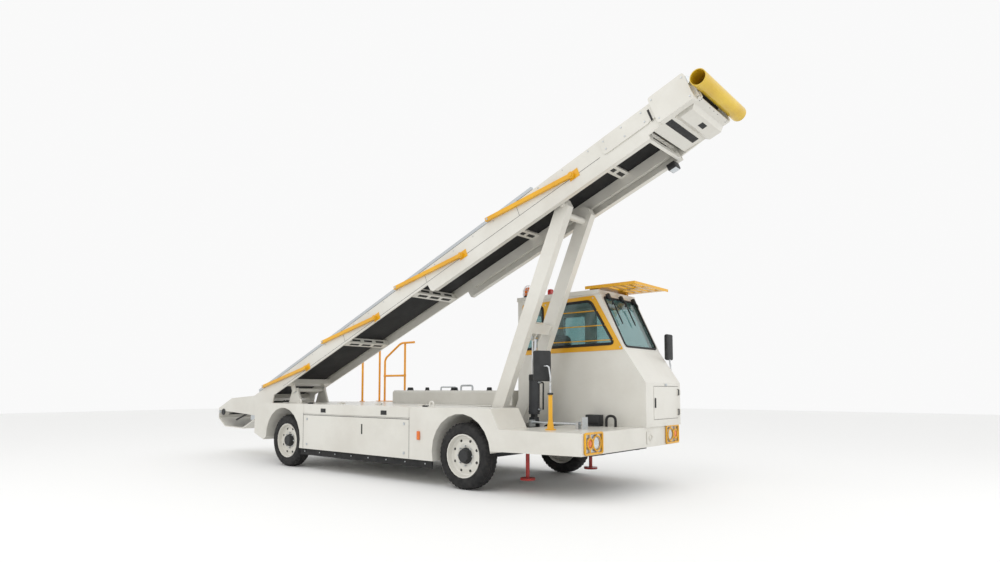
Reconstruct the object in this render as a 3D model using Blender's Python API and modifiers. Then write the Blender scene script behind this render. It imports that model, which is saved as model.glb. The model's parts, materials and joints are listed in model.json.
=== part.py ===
"""Baggage belt loader: self-propelled chassis, side cab and a raised conveyor boom.

Metres, +Z up, +X forward, +Y left. The vehicle frame has x = 0 on the rear axle, y = 0 on the
centre line and z = 0 on the ground. Everything hangs from one assembly empty, which at the end
is shifted so that the origin is the bottom centre of the whole object's box.
"""
import math

import bmesh
import bpy
from mathutils import Matrix, Vector

# Driving dimensions
GAP = 0.0003              # between faces that touch
CLEAR = 0.005             # round lids and doors that swing
HALF_WIDTH = 1.125
SIDE_INNER = 0.625        # inner face of the side bodies
WHEELBASE = 3.53
TYRE_R = 0.38
RIM_R = 0.25
WHEEL_Y = 0.985
KINGPIN_Y = 0.90
HUB_Y = 0.925
DECK_Z = 0.925
LOW_DECK_Z = 0.705
DECK_SHEET = 0.03
FRONT_X = 5.137
REAR_X = -0.83
FRAME_LOW = 0.4303
FRAME_HIGH = 0.58
ARCH_R = 0.45
SKIRT_LOW = 0.205
BODY_LOW = 0.295

BOOM_Y = -0.325           # centre of the boom, right of the cab
BOOM_HALF = 0.40
BOOM_SHEET = 0.02
BOOM_PIVOT = (-0.55, 1.12)
BOOM_ANGLE = 22.18
BOOM_TOP = 0.289
SHALLOW_LOW = 0.081
DEEP_LOW = -0.0455
DEEP_START = 3.42
BOOM_END = 6.75
PIN_R = 0.03
HOLE_SIDES = 48           # so that a turning pin's corners clear the flats of its hole
BELT_HALF = 0.30
BELT_SHEET = 0.008
BELT_R = 0.0505
HEAD_ROLLER = (7.27, 0.2155)
TAIL_ROLLER_X, TAIL_ROLLER_Z = -2.55, 0.735
BELT_BEND = -0.95
BELT_STEPS = 8            # flats round each end roller
END_ROLLER_R = (BELT_R - BELT_SHEET) * math.cos(math.pi / (2 * BELT_STEPS)) - GAP
TUBE_S, TUBE_N, TUBE_R, TUBE_HALF, TUBE_WALL = 7.414, 0.12, 0.08, 0.535, 0.008

ARM_PIVOT = (3.563, 0.70)
ARM_ANGLE = 67.4
ARM_LENGTH = 2.763
ARM_DEPTH = 0.165
ARM_INNER = 0.187
ARM_OUTER = 0.287
ARM_EYE = 1.137
ROLLER_AT = 2.70
ROLLER_R = 0.035
TRACK_LOW = 0.034

CYLINDER_PIVOT = (3.985, 0.77)
BARREL_R = 0.065
BARREL_LENGTH = 0.52
ROD_R = 0.0345
ROD_LENGTH = 0.62
EYE_HALF = 0.034

RAIL_ARMS = 4
RAIL_PITCH = 1.745
RAIL_FIRST = 0.60
RAIL_PIVOT_N = 0.13
RAIL_BACK, RAIL_RISE = 1.2, 0.185
RAIL_BAR = 0.04

CAB_REAR, CAB_FRONT = 3.34, 5.16
CAB_RIGHT, CAB_LEFT = 0.21, 1.125
CAB_TOP = 2.29
CAB_WALL = 0.035
CAB_STEP = 0.9256         # floor over the front wheel arch
NOSE_TOP = (5.16, 1.212)
SCREEN_LOW = (4.90, 1.60)
SCREEN_HIGH = (4.573, 2.29)
HINGE_R = 0.012

LID_X = (0.48, 2.69)
LID_INNER = -0.66
LID_LOW = 0.785
LEG_X, LEG_Y, LEG_R = 4.146, 0.67, 0.022

PAINTS = {
    "white_paint": ("#E9E6DC", 0.35, 0.0),
    "yellow_paint": ("#F2B81F", 0.35, 0.0),
    "orange_paint": ("#EE9A22", 0.4, 0.0),
    "black_rubber": ("#1B1B1C", 0.85, 0.0),
    "charcoal_paint": ("#2C2E30", 0.45, 0.0),
    "chrome": ("#D8D8D8", 0.12, 1.0),
    "silver_metal": ("#B9BCBE", 0.35, 1.0),
    "glass": ("#5E7F80", 0.05, 0.0),
    "red_paint": ("#B32017", 0.4, 0.0),
    "dark_trim": ("#2A2A2B", 0.6, 0.0),
}


def clear_scene():
    for thing in list(bpy.data.objects):
        bpy.data.objects.remove(thing, do_unlink=True)


def new_collection(name):
    group = bpy.data.collections.new(name)
    bpy.context.scene.collection.children.link(group)
    return group


clear_scene()
PARTS = new_collection("baggage_belt_loader")
CUTTERS = new_collection("cutters")


def linear(part):
    return part / 12.92 if part <= 0.04045 else ((part + 0.055) / 1.055) ** 2.4


def paint(name):
    material = bpy.data.materials.get(name)
    if material:
        return material
    colour, roughness, metallic = PAINTS[name]
    material = bpy.data.materials.new(name)
    material.use_nodes = True
    shader = material.node_tree.nodes["Principled BSDF"]
    channels = [linear(int(colour[i:i + 2], 16) / 255) for i in (1, 3, 5)]
    shader.inputs["Base Color"].default_value = channels + [1.0]
    shader.inputs["Roughness"].default_value = roughness
    shader.inputs["Metallic"].default_value = metallic
    return material


def empty(name, parent, location, pitch=0.0):
    """An axis or a local frame; pitch is the rise of its X axis in degrees."""
    axis = bpy.data.objects.new(name, None)
    bpy.context.scene.collection.objects.link(axis)
    axis.parent = parent
    axis.location = location
    axis.rotation_euler = (0.0, -math.radians(pitch), 0.0)
    return axis


def as_object(name, mesh, parent):
    piece = bpy.data.objects.new(name, mesh)
    PARTS.objects.link(piece)
    piece.parent = parent
    return piece


def box(name, parent, low, high):
    shape = bmesh.new()
    bmesh.ops.create_cube(shape, size=1.0)
    size = [b - a for a, b in zip(low, high)]
    centre = [(a + b) / 2 for a, b in zip(low, high)]
    bmesh.ops.scale(shape, vec=size, verts=shape.verts)
    bmesh.ops.translate(shape, vec=centre, verts=shape.verts)
    mesh = bpy.data.meshes.new(name)
    shape.to_mesh(mesh)
    shape.free()
    return as_object(name, mesh, parent)


def rod(name, parent, start, end, radius, sides=16):
    """A round bar from start to end."""
    start = Vector(start)
    end = Vector(end)
    along = end - start
    shape = bmesh.new()
    bmesh.ops.create_cone(shape, cap_ends=True, segments=sides, radius1=radius, radius2=radius,
                          depth=along.length)
    turn = along.to_track_quat("Z", "Y").to_matrix().to_4x4()
    bmesh.ops.transform(shape, matrix=Matrix.Translation((start + end) / 2) @ turn, verts=shape.verts)
    mesh = bpy.data.meshes.new(name)
    shape.to_mesh(mesh)
    shape.free()
    piece = as_object(name, mesh, parent)
    mesh.shade_smooth()
    mesh.set_sharp_from_angle(angle=math.radians(40))
    return piece


def across(name, parent, x, z, low, high, radius, sides=16):
    """A round bar along Y."""
    return rod(name, parent, (x, low, z), (x, high, z), radius, sides)


PLANES = {
    "side": Matrix(((1, 0, 0), (0, 0, -1), (0, 1, 0))),
    "front": Matrix(((0, 0, 1), (1, 0, 0), (0, 1, 0))),
    "plan": Matrix.Identity(3),
}


def plate(name, parent, loops, low, high, plane="side"):
    """A flat outline with holes: (x, z) in side, (y, z) in front, (x, y) in plan."""
    curve = bpy.data.curves.new(name, "CURVE")
    curve.dimensions = "2D"
    curve.fill_mode = "BOTH"
    curve.extrude = (high - low) / 2
    for loop in loops:
        spline = curve.splines.new("POLY")
        spline.points.add(len(loop) - 1)
        for point, (a, b) in zip(spline.points, loop):
            point.co = (a, b, 0.0, 1.0)
        spline.use_cyclic_u = True
    flat = as_object(name + "_outline", curve, None)
    mesh = bpy.data.meshes.new_from_object(flat.evaluated_get(bpy.context.evaluated_depsgraph_get()))
    bpy.data.objects.remove(flat, do_unlink=True)
    shape = bmesh.new()
    shape.from_mesh(mesh)
    bmesh.ops.remove_doubles(shape, verts=shape.verts, dist=0.00001)
    bmesh.ops.recalc_face_normals(shape, faces=shape.faces)
    middle = (low + high) / 2
    shift = {"side": (0, middle, 0), "front": (middle, 0, 0), "plan": (0, 0, middle)}[plane]
    move = Matrix.Translation(shift) @ PLANES[plane].to_4x4()
    bmesh.ops.transform(shape, matrix=move, verts=shape.verts)
    shape.to_mesh(mesh)
    shape.free()
    return as_object(name, mesh, parent)


def turned(name, parent, profile, closed, outward, steps=24):
    """A profile of (radius, height) turned about an axis that points to outward * Y."""
    mesh = bpy.data.meshes.new(name)
    edges = [(i, i + 1) for i in range(len(profile) - 1)]
    if closed:
        edges.append((len(profile) - 1, 0))
    mesh.from_pydata([(r, 0.0, z) for r, z in profile], edges, [])
    piece = as_object(name, mesh, parent)
    piece.rotation_euler = (-outward * math.pi / 2, 0.0, 0.0)
    screw = piece.modifiers.new("turn", "SCREW")
    screw.axis = "Z"
    screw.steps = steps
    screw.render_steps = steps
    screw.use_merge_vertices = True
    screw.merge_threshold = 0.0001
    return piece


def combine(piece, others, operation):
    for other in others:
        PARTS.objects.unlink(other)
        CUTTERS.objects.link(other)
        other.hide_render = True
        other.display_type = "WIRE"
        step = piece.modifiers.new(operation.lower(), "BOOLEAN")
        step.operation = operation
        step.solver = "EXACT"
        step.object = other
    return piece


def join(piece, *others):
    return combine(piece, others, "UNION")


def cut(piece, *others):
    return combine(piece, others, "DIFFERENCE")


def finish(piece, material):
    piece.data.materials.clear()
    piece.data.materials.append(paint(material))
    return piece


def arc(centre, radius, start, end, steps):
    """Points on a circle, angles in degrees."""
    angles = [math.radians(start + (end - start) * i / steps) for i in range(steps + 1)]
    return [(centre[0] + radius * math.cos(a), centre[1] + radius * math.sin(a)) for a in angles]


def circle(centre, radius, steps=20):
    return arc(centre, radius, 0.0, 360.0 - 360.0 / steps, steps - 1)


def rounded(points, radius, steps=4):
    """The outline with each corner turned into an arc of about this radius."""
    outline = []
    count = len(points)
    for i, point in enumerate(points):
        corner = Vector(point)
        before = (Vector(points[i - 1]) - corner).normalized()
        after = (Vector(points[(i + 1) % count]) - corner).normalized()
        start = corner + before * radius
        end = corner + after * radius
        for k in range(steps + 1):
            t = k / steps
            outline.append(tuple((1 - t) ** 2 * start + 2 * t * (1 - t) * corner + t * t * end))
    return outline


def rectangle(x0, z0, x1, z1):
    return [(x0, z0), (x1, z0), (x1, z1), (x0, z1)]


def to_boom(x, z):
    """A point of the vehicle's side view as (along, normal) of the boom."""
    angle = math.radians(BOOM_ANGLE)
    dx = x - BOOM_PIVOT[0]
    dz = z - BOOM_PIVOT[1]
    return (dx * math.cos(angle) + dz * math.sin(angle), dz * math.cos(angle) - dx * math.sin(angle))


ASSEMBLY = empty("assembly", None, (0, 0, 0))


# Chassis ---------------------------------------------------------------------------------

def side_outline():
    rear = arc((-0.05, 0.415), ARCH_R, 180.0, -15.5, 12)
    front = arc((WHEELBASE, 0.41), ARCH_R, 194.8, 3.8, 12)
    nose = [(3.98, 0.463), (FRONT_X, 0.48), (FRONT_X, LOW_DECK_Z), (4.10, LOW_DECK_Z), (3.98, DECK_Z)]
    tail = [(-0.60, DECK_Z), (REAR_X, 0.80), (REAR_X, 0.46), (-0.57, 0.37)]
    return rear + front + nose + tail


def side_body(name, side):
    low, high = sorted((side * SIDE_INNER, side * HALF_WIDTH))
    body = plate(name, ASSEMBLY, [side_outline()], low, high)
    bore = rod(name + "_leg_bore", ASSEMBLY, (LEG_X, side * LEG_Y, 0.3), (LEG_X, side * LEG_Y, 0.69),
               LEG_R + GAP, 20)
    cut(body, bore)
    return finish(body, "white_paint")


def chassis():
    right = side_body("right_side_body", -1)
    side_body("left_side_body", 1)
    lid_seat = DECK_Z - DECK_SHEET
    lip = 0.027
    cut(right,
        box("locker_top", ASSEMBLY, (LID_X[0], -HALF_WIDTH - 0.01, lid_seat), (LID_X[1], LID_INNER, 1.0)),
        box("locker_lip", ASSEMBLY, (LID_X[0], -HALF_WIDTH - 0.01, LID_LOW),
            (LID_X[1], -HALF_WIDTH + lip + GAP, 1.0)),
        box("locker_space", ASSEMBLY, (0.52, -1.06, 0.33), (2.65, LID_INNER - 0.02, 1.0)))

    lid_low = LID_LOW + CLEAR
    lid_edge = LID_INNER - CLEAR
    profile = [(-HALF_WIDTH, lid_low), (-HALF_WIDTH + lip, lid_low), (-HALF_WIDTH + lip, lid_seat + GAP),
               (lid_edge, lid_seat + GAP), (lid_edge, DECK_Z), (-HALF_WIDTH, DECK_Z)]
    lid_axis = empty("locker_lid_axis", ASSEMBLY, ((LID_X[0] + LID_X[1]) / 2, -0.655, DECK_Z + HINGE_R + GAP))
    lid = plate("right_locker_lid", ASSEMBLY, [profile], LID_X[0] + CLEAR, LID_X[1] - CLEAR, "front")
    keep_on_axis(lid, lid_axis)
    for x in (0.75, 1.585, 2.42):
        barrel = rod("lid_barrel", ASSEMBLY, (x - 0.05, -0.655, DECK_Z + HINGE_R + GAP),
                     (x + 0.05, -0.655, DECK_Z + HINGE_R + GAP), HINGE_R, 12)
        leaf = box("lid_leaf", ASSEMBLY, (x - 0.05, -0.70, DECK_Z - 0.01), (x + 0.05, -0.655, DECK_Z + 0.012))
        clearance = box("lid_leaf_room", ASSEMBLY, (x - 0.06, LID_INNER - 0.04, DECK_Z - 0.012),
                        (x + 0.06, -0.648, DECK_Z + 0.03))
        cut(right, clearance)
        for part in (leaf, barrel):
            keep_on_axis(part, lid_axis)
        join(lid, leaf, barrel)
    finish(lid, "white_paint")

    for name, side in (("right_rubber_skirt", -1), ("left_rubber_skirt", 1)):
        low, high = sorted((side * 1.085, side * 1.10))
        skirt = box(name, ASSEMBLY, (0.39, low, SKIRT_LOW), (3.065, high, BODY_LOW - GAP))
        finish(skirt, "black_rubber")

    edge = SIDE_INNER - GAP
    deck = box("mid_deck", ASSEMBLY, (REAR_X, -edge, DECK_Z - DECK_SHEET), (3.25, edge, DECK_Z))
    bracket = [(-0.72, 0.91), (-0.38, 0.91), (-0.49, 1.16), (-0.61, 1.16)]
    for side in (-1, 1):
        low, high = sorted((BOOM_Y + side * 0.24, BOOM_Y + side * 0.27))
        join(deck, plate("boom_bracket", ASSEMBLY, [bracket, circle(BOOM_PIVOT, PIN_R + GAP, HOLE_SIDES)], low, high))
    finish(deck, "white_paint")

    profile = [(4.15, 0.675), (5.107, 0.675), (5.107, 0.48), (FRONT_X, 0.48), (FRONT_X, LOW_DECK_Z),
               (4.15, LOW_DECK_Z)]
    finish(plate("front_deck", ASSEMBLY, [profile], -edge, edge), "white_paint")

    cover = [(0.19, DECK_Z + GAP), (1.06, DECK_Z + GAP), (1.06, 1.09), (1.03, 1.12), (0.22, 1.12), (0.19, 1.09)]
    finish(plate("engine_cover", ASSEMBLY, [cover], 0.90, 3.25, "front"), "white_paint")
    engine = box("engine_block", ASSEMBLY, (1.2, -0.3597, 0.35), (2.1, 0.3597, 0.85))
    finish(engine, "charcoal_paint")


def keep_on_axis(piece, axis):
    """Parent to the axis without moving; the axis empties here are not turned."""
    piece.parent = axis
    piece.location = Vector(piece.location) - Vector(axis.location)


def ladder_frame():
    frame = box("chassis_frame", ASSEMBLY, (-0.75, -0.44, FRAME_LOW), (4.95, -0.36, FRAME_HIGH))
    edge = SIDE_INNER - GAP
    others = [box("rail", ASSEMBLY, (-0.75, 0.36, FRAME_LOW), (4.95, 0.44, FRAME_HIGH))]
    for start, end in ((-0.749, -0.65), (0.55, 0.65), (2.3, 2.4), (3.45, 3.68), (3.90, 4.06), (4.85, 4.949)):
        others.append(box("cross_member", ASSEMBLY, (start, -edge, FRAME_LOW + 0.002),
                          (end, edge, FRAME_HIGH - 0.002)))
    foot = [(3.47, 0.56), (3.66, 0.56), (3.61, 0.755), (3.515, 0.755)]
    lug = [(3.92, 0.56), (4.05, 0.56), (4.02, 0.81), (3.95, 0.81)]
    for side in (-1, 1):
        low, high = sorted((BOOM_Y + side * 0.10, BOOM_Y + side * 0.13))
        others.append(plate("arm_bracket", ASSEMBLY, [foot, circle(ARM_PIVOT, PIN_R + GAP, HOLE_SIDES)], low, high))
        low, high = sorted((BOOM_Y + side * 0.030, BOOM_Y + side * 0.050))
        others.append(plate("cylinder_lug", ASSEMBLY, [lug, circle(CYLINDER_PIVOT, 0.0203, HOLE_SIDES)], low, high))
    join(frame, *others)
    finish(frame, "charcoal_paint")


def axles():
    beam = [(-0.84, 0.24), (-0.80, 0.24), (-0.80, 0.33), (0.80, 0.33), (0.80, 0.24), (0.93, 0.24),
            (0.93, 0.27), (0.84, 0.27), (0.84, 0.49), (0.93, 0.49), (0.93, 0.52), (0.80, 0.52), (0.80, 0.43),
            (-0.80, 0.43), (-0.80, 0.52), (-0.93, 0.52), (-0.93, 0.49), (-0.84, 0.49), (-0.84, 0.27),
            (-0.93, 0.27), (-0.93, 0.24)]
    axle = plate("front_axle", ASSEMBLY, [beam], WHEELBASE - 0.045, WHEELBASE + 0.045, "front")
    finish(axle, "charcoal_paint")
    end = HUB_Y - GAP
    half = [(0.0, end), (0.07, end), (0.07, 0.84), (0.05, 0.80), (0.05, 0.22), (0.13, 0.14), (0.17, 0.08)]
    profile = half + [(r, -z) for r, z in reversed(half)]
    centre = empty("rear_axle_centre", ASSEMBLY, (0, 0, TYRE_R))
    finish(turned("rear_axle", centre, profile, False, 1), "charcoal_paint")


def wheels():
    half_tyre = [(0.250, 0.080), (0.262, 0.098), (0.315, 0.104), (0.355, 0.092), (0.376, 0.070), (0.380, 0.0)]
    tyre = half_tyre + [(r, -z) for r, z in reversed(half_tyre[:-1])]
    rim = [(0.0, 0.088), (0.055, 0.088), (0.062, 0.035), (0.085, 0.030), (0.15, 0.048), (0.205, 0.030),
           (0.222, 0.040), (0.238, 0.092), (RIM_R - GAP, 0.092), (RIM_R - GAP, -0.092), (0.222, -0.085),
           (0.222, -0.010), (0.18, -0.005), (0.12, 0.010), (0.075, 0.0), (0.075, HUB_Y - WHEEL_Y),
           (0.0, HUB_Y - WHEEL_Y)]
    for end, x in (("front", WHEELBASE), ("rear", 0.0)):
        for hand, side in (("right", -1), ("left", 1)):
            if end == "front":
                carrier = knuckle(hand, side)
                place = (0.0, side * (WHEEL_Y - KINGPIN_Y), 0.0)
            else:
                carrier = ASSEMBLY
                place = (x, side * WHEEL_Y, TYRE_R)
            centre = empty(f"{end}_{hand}_wheel_axis", carrier, place)
            finish(turned(f"{end}_{hand}_tyre", centre, tyre, True, side), "black_rubber")
            finish(turned(f"{end}_{hand}_rim", centre, rim, False, side), "white_paint")


def knuckle(hand, side):
    pin = empty(f"{hand}_kingpin", ASSEMBLY, (WHEELBASE, side * KINGPIN_Y, TYRE_R))
    name = f"{hand}_knuckle"
    post = rod(name, pin, (0, 0, -0.11 + GAP), (0, 0, 0.11 - GAP), 0.022)
    stub = rod("stub", pin, (0, 0, 0), (0, side * (HUB_Y - KINGPIN_Y - GAP), 0), 0.05)
    finish(join(post, stub), "charcoal_paint")
    return pin


def stabilisers():
    for hand, side in (("right", -1), ("left", 1)):
        axis = empty(f"{hand}_leg_axis", ASSEMBLY, (LEG_X, side * LEG_Y, 0.125))
        leg = rod(f"{hand}_stabiliser", axis, (0, 0, 0), (0, 0, 0.025), 0.085, 20)
        join(leg, rod("leg_rod", axis, (0, 0, 0.01), (0, 0, 0.495), LEG_R, 20))
        finish(leg, "red_paint")


def handrail():
    top = 1.93
    strip = box("handrail", ASSEMBLY, (-0.41, 0.955, DECK_Z + GAP), (0.33, 1.045, DECK_Z + 0.010))
    y = 1.0
    low = DECK_Z + 0.004
    runs = [
        ((-0.366, y, low), (-0.366, y, top)),
        ((-0.366, y + 0.018, top), (-0.366, 0.60, top)),
        ((-0.366, 0.62, DECK_Z + GAP), (-0.366, 0.62, top + 0.017)),
        ((-0.225, y, low), (-0.225, y, 1.675)),
        ((-0.23, y, 1.66), (0.195, y, 1.928)),
        ((0.29, y, low), (0.29, y, 1.925)),
        ((0.18, y, 1.925), (0.50, y, 1.925)),
        ((-0.235, y, 1.37), (0.30, y, 1.37)),
    ]
    join(strip, *[rod("rail_run", ASSEMBLY, a, b, 0.018, 10) for a, b in runs])
    finish(strip, "orange_paint")


# Cab -------------------------------------------------------------------------------------

def cab_outline(inset, step_floor):
    """The side view of the cab, moved in by inset; the stepped floor clears the wheel arch."""
    floor = LOW_DECK_Z + 0.0006 + inset
    front = CAB_FRONT - inset
    lean = inset * 0.55
    upper = [(front, NOSE_TOP[1] - lean * 0.4), (SCREEN_LOW[0] - inset, SCREEN_LOW[1] - lean * 0.6),
             (SCREEN_HIGH[0] - inset * 0.75, CAB_TOP - inset), (CAB_REAR + inset, CAB_TOP - inset)]
    if step_floor:
        step = CAB_STEP + inset
        lower = [(CAB_REAR + inset, step), (3.985 + inset * 0.6, step), (4.105 + inset * 0.6, floor), (front, floor)]
    else:
        lower = [(CAB_REAR + inset, floor), (front, floor)]
    return lower + upper


def screen_frame():
    """Local X runs down the windscreen from its top, local Z points out of the glass."""
    dx = SCREEN_LOW[0] - SCREEN_HIGH[0]
    dz = SCREEN_HIGH[1] - SCREEN_LOW[1]
    pitch = -math.degrees(math.atan2(dz, dx))
    return empty("windscreen_plane", ASSEMBLY, (SCREEN_HIGH[0], 0, SCREEN_HIGH[1]), pitch), math.hypot(dx, dz)


def offset_in(points, amount):
    """Moves each corner of an outline towards its centre."""
    centre = Vector((0.0, 0.0))
    for point in points:
        centre += Vector(point) / len(points)
    moved = []
    for point in points:
        inward = centre - Vector(point)
        moved.append(tuple(Vector(point) + inward.normalized() * amount))
    return moved


def cab():
    inner_right = CAB_RIGHT + CAB_WALL
    inner_left = CAB_LEFT - CAB_WALL
    edge = SIDE_INNER - GAP
    shell = plate("cab_shell", ASSEMBLY, [cab_outline(0.0, False)], CAB_RIGHT, CAB_LEFT)
    notch = [(3.2, 0.6), (4.2, 0.6), (4.105, 0.7056), (3.985, CAB_STEP), (3.2, CAB_STEP)]
    side_window = [(3.41, 1.61), (4.845, 1.632), (4.485, 2.24), (3.445, 2.21)]
    quarter = [(3.98, 1.45), (4.84, 1.45), (4.79, 1.62), (4.52, 2.20), (3.98, 2.20)]
    door_low, door_high = (3.385, 0.975), (3.905, 2.225)
    nose_low, nose_high = (0.40, 0.785), (1.07, 1.175)
    screen, slope = screen_frame()
    cut(shell,
        plate("arch_notch", ASSEMBLY, [notch], edge, 1.3),
        plate("cab_space", ASSEMBLY, [cab_outline(CAB_WALL, False)], inner_right, edge - CAB_WALL),
        plate("cab_space_left", ASSEMBLY, [cab_outline(CAB_WALL, True)], edge - CAB_WALL - 0.01, inner_left),
        plate("right_opening", ASSEMBLY, [side_window], 0.1, 0.3),
        plate("quarter_opening", ASSEMBLY, [quarter], 1.05, 1.2),
        box("door_opening", ASSEMBLY, (door_low[0], 1.05, door_low[1]), (door_high[0], 1.2, door_high[1])),
        box("rear_opening", ASSEMBLY, (3.2, 0.35, 1.35), (3.45, 0.98, 2.15)),
        box("nose_opening", ASSEMBLY, (5.08, nose_low[0], nose_low[1]), (5.3, nose_high[0], nose_high[1])),
        box("screen_opening", screen, (0.045, 0.27, -0.09), (slope - 0.04, 1.065, 0.05)))
    finish(shell, "white_paint")

    finish(box("windscreen", screen, (0.045 + GAP, 0.27 + GAP, -0.020), (slope - 0.04 - GAP, 1.065 - GAP, -0.012)),
           "glass")
    finish(plate("right_window_glass", ASSEMBLY, [offset_in(side_window, 0.0008)], 0.2103, 0.2163), "glass")
    finish(plate("left_quarter_glass", ASSEMBLY, [offset_in(quarter, 0.0008)], 1.108, 1.114), "glass")
    finish(box("rear_window_glass", ASSEMBLY, (3.352, 0.35 + GAP, 1.35 + GAP), (3.358, 0.98 - GAP, 2.15 - GAP)),
           "glass")
    outer = [(3.38, 1.58), (4.884, 1.602), (4.504, 2.27), (3.42, 2.24)]
    rear_pane = rounded([(3.455, 1.655), (3.745, 1.66), (3.745, 2.19), (3.475, 2.185)], 0.05)
    front_pane = rounded([(3.85, 1.662), (4.765, 1.675), (4.45, 2.205), (3.85, 2.192)], 0.06)
    frame = plate("right_window_frame", ASSEMBLY, [rounded(outer, 0.02, 2), rear_pane, front_pane], 0.202, 0.2097)
    finish(frame, "yellow_paint")

    roof = box("cab_roof", ASSEMBLY, (3.33, 0.20, CAB_TOP + GAP), (4.56, 1.135, 2.34))
    finish(roof, "white_paint")
    visor = box("sun_visor", ASSEMBLY, (4.37, 0.21, 2.375), (5.04, 1.10, 2.393))
    legs = [box("visor_leg", ASSEMBLY, (4.40, y - 0.03, 2.34 + GAP), (4.52, y + 0.03, 2.38)) for y in (0.30, 1.0)]
    flange = [box("visor_flange", ASSEMBLY, (4.371, 0.2105, 2.355), (5.039, 0.216, 2.38)),
              box("visor_front", ASSEMBLY, (5.034, 0.211, 2.36), (5.0395, 1.099, 2.38))]
    join(visor, *legs, *flange)
    slots = []
    for row in (0.36, 0.72):
        for i in range(4):
            x = 4.60 + 0.105 * i
            slots.append(box("visor_slot", ASSEMBLY, (x, row, 2.3), (x + 0.055, row + 0.28, 2.45)))
    cut(visor, *slots)
    finish(visor, "yellow_paint")

    door_axis = empty("cab_door_axis", ASSEMBLY, (3.915, CAB_LEFT + HINGE_R + GAP, 1.6))
    door = box("cab_door", ASSEMBLY, (door_low[0] + CLEAR, inner_left, door_low[1] + CLEAR),
               (door_high[0] - CLEAR, CAB_LEFT, door_high[1] - CLEAR))
    window = box("door_window", ASSEMBLY, (3.47, 1.0, 1.35), (3.82, 1.2, 2.15))
    keep_on_axis(door, door_axis)
    cut(door, window)
    for z in (1.15, 2.05):
        barrel = rod("door_barrel", ASSEMBLY, (3.915, CAB_LEFT + HINGE_R + GAP, z - 0.05),
                     (3.915, CAB_LEFT + HINGE_R + GAP, z + 0.05), HINGE_R, 12)
        leaf = box("door_leaf", ASSEMBLY, (3.86, CAB_LEFT - 0.01, z - 0.05), (3.899, CAB_LEFT + 0.010, z + 0.05))
        strap = box("door_strap", ASSEMBLY, (3.88, CAB_LEFT + 0.004, z - 0.049), (3.915, CAB_LEFT + 0.0095, z + 0.049))
        join(door, leaf, strap, barrel)
    finish(door, "white_paint")
    pane = box("cab_door_glass", ASSEMBLY, (3.47 + GAP, 1.104, 1.35 + GAP), (3.82 - GAP, 1.110, 2.15 - GAP))
    keep_on_axis(pane, door_axis)
    finish(pane, "glass")

    nose_axis = empty("nose_door_axis", ASSEMBLY, (CAB_FRONT + HINGE_R + GAP, 1.08, 0.98))
    nose = box("nose_door", ASSEMBLY, (5.13, nose_low[0] + CLEAR, nose_low[1] + CLEAR),
               (5.163, nose_high[0] - CLEAR, nose_high[1] - CLEAR))
    keep_on_axis(nose, nose_axis)
    for z in (0.86, 1.10):
        barrel = rod("nose_barrel", ASSEMBLY, (CAB_FRONT + HINGE_R + GAP, 1.08, z - 0.03),
                     (CAB_FRONT + HINGE_R + GAP, 1.08, z + 0.03), HINGE_R, 12)
        strap = box("nose_strap", ASSEMBLY, (5.1605, 1.03, z - 0.029), (5.172, 1.08, z + 0.029))
        join(nose, strap, barrel)
    finish(nose, "white_paint")


def cab_inside():
    floor = CAB_STEP + CAB_WALL + GAP
    seat = box("driver_seat", ASSEMBLY, (3.47, 0.64, floor), (3.90, 1.02, 1.16))
    cushion = box("seat_cushion", ASSEMBLY, (3.45, 0.60, 1.14), (3.96, 1.06, 1.30))
    back = plate("seat_back", ASSEMBLY, [[(3.50, 1.20), (3.62, 1.20), (3.52, 1.95), (3.42, 1.95)]], 0.61, 1.05)
    finish(join(seat, cushion, back), "dark_trim")

    floor = LOW_DECK_Z + 0.0006 + CAB_WALL + GAP
    dash = plate("steering_wheel", ASSEMBLY, [[(4.72, floor), (5.05, floor), (5.05, 1.16), (4.86, 1.30), (4.72, 1.26)]],
                 0.60, 1.06)
    hub = Vector((4.42, 0.83, 1.50))
    tilt = Vector((-0.55, 0.0, 0.835)).normalized()
    column = rod("column", ASSEMBLY, (4.80, 0.83, 0.95), hub + tilt * 0.005, 0.03, 12)
    side = Vector((0, 1, 0))
    up = tilt.cross(side)
    ring = []
    sides = 12
    for i in range(sides):
        a = 2 * math.pi * i / sides
        b = 2 * math.pi * (i + 1.15) / sides
        start = hub + 0.19 * (math.cos(a) * side + math.sin(a) * up)
        end = hub + 0.19 * (math.cos(b) * side + math.sin(b) * up)
        ring.append(rod("wheel_rim", ASSEMBLY, start, end, 0.014, 6))
    spokes = [box("spoke", ASSEMBLY, (-0.012, -0.188, -0.007), (0.012, 0.188, 0.007))]
    spokes[0].matrix_local = Matrix.Translation(hub) @ tilt.to_track_quat("Z", "Y").to_matrix().to_4x4()
    join(dash, column, *spokes, *ring)
    finish(dash, "dark_trim")


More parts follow.
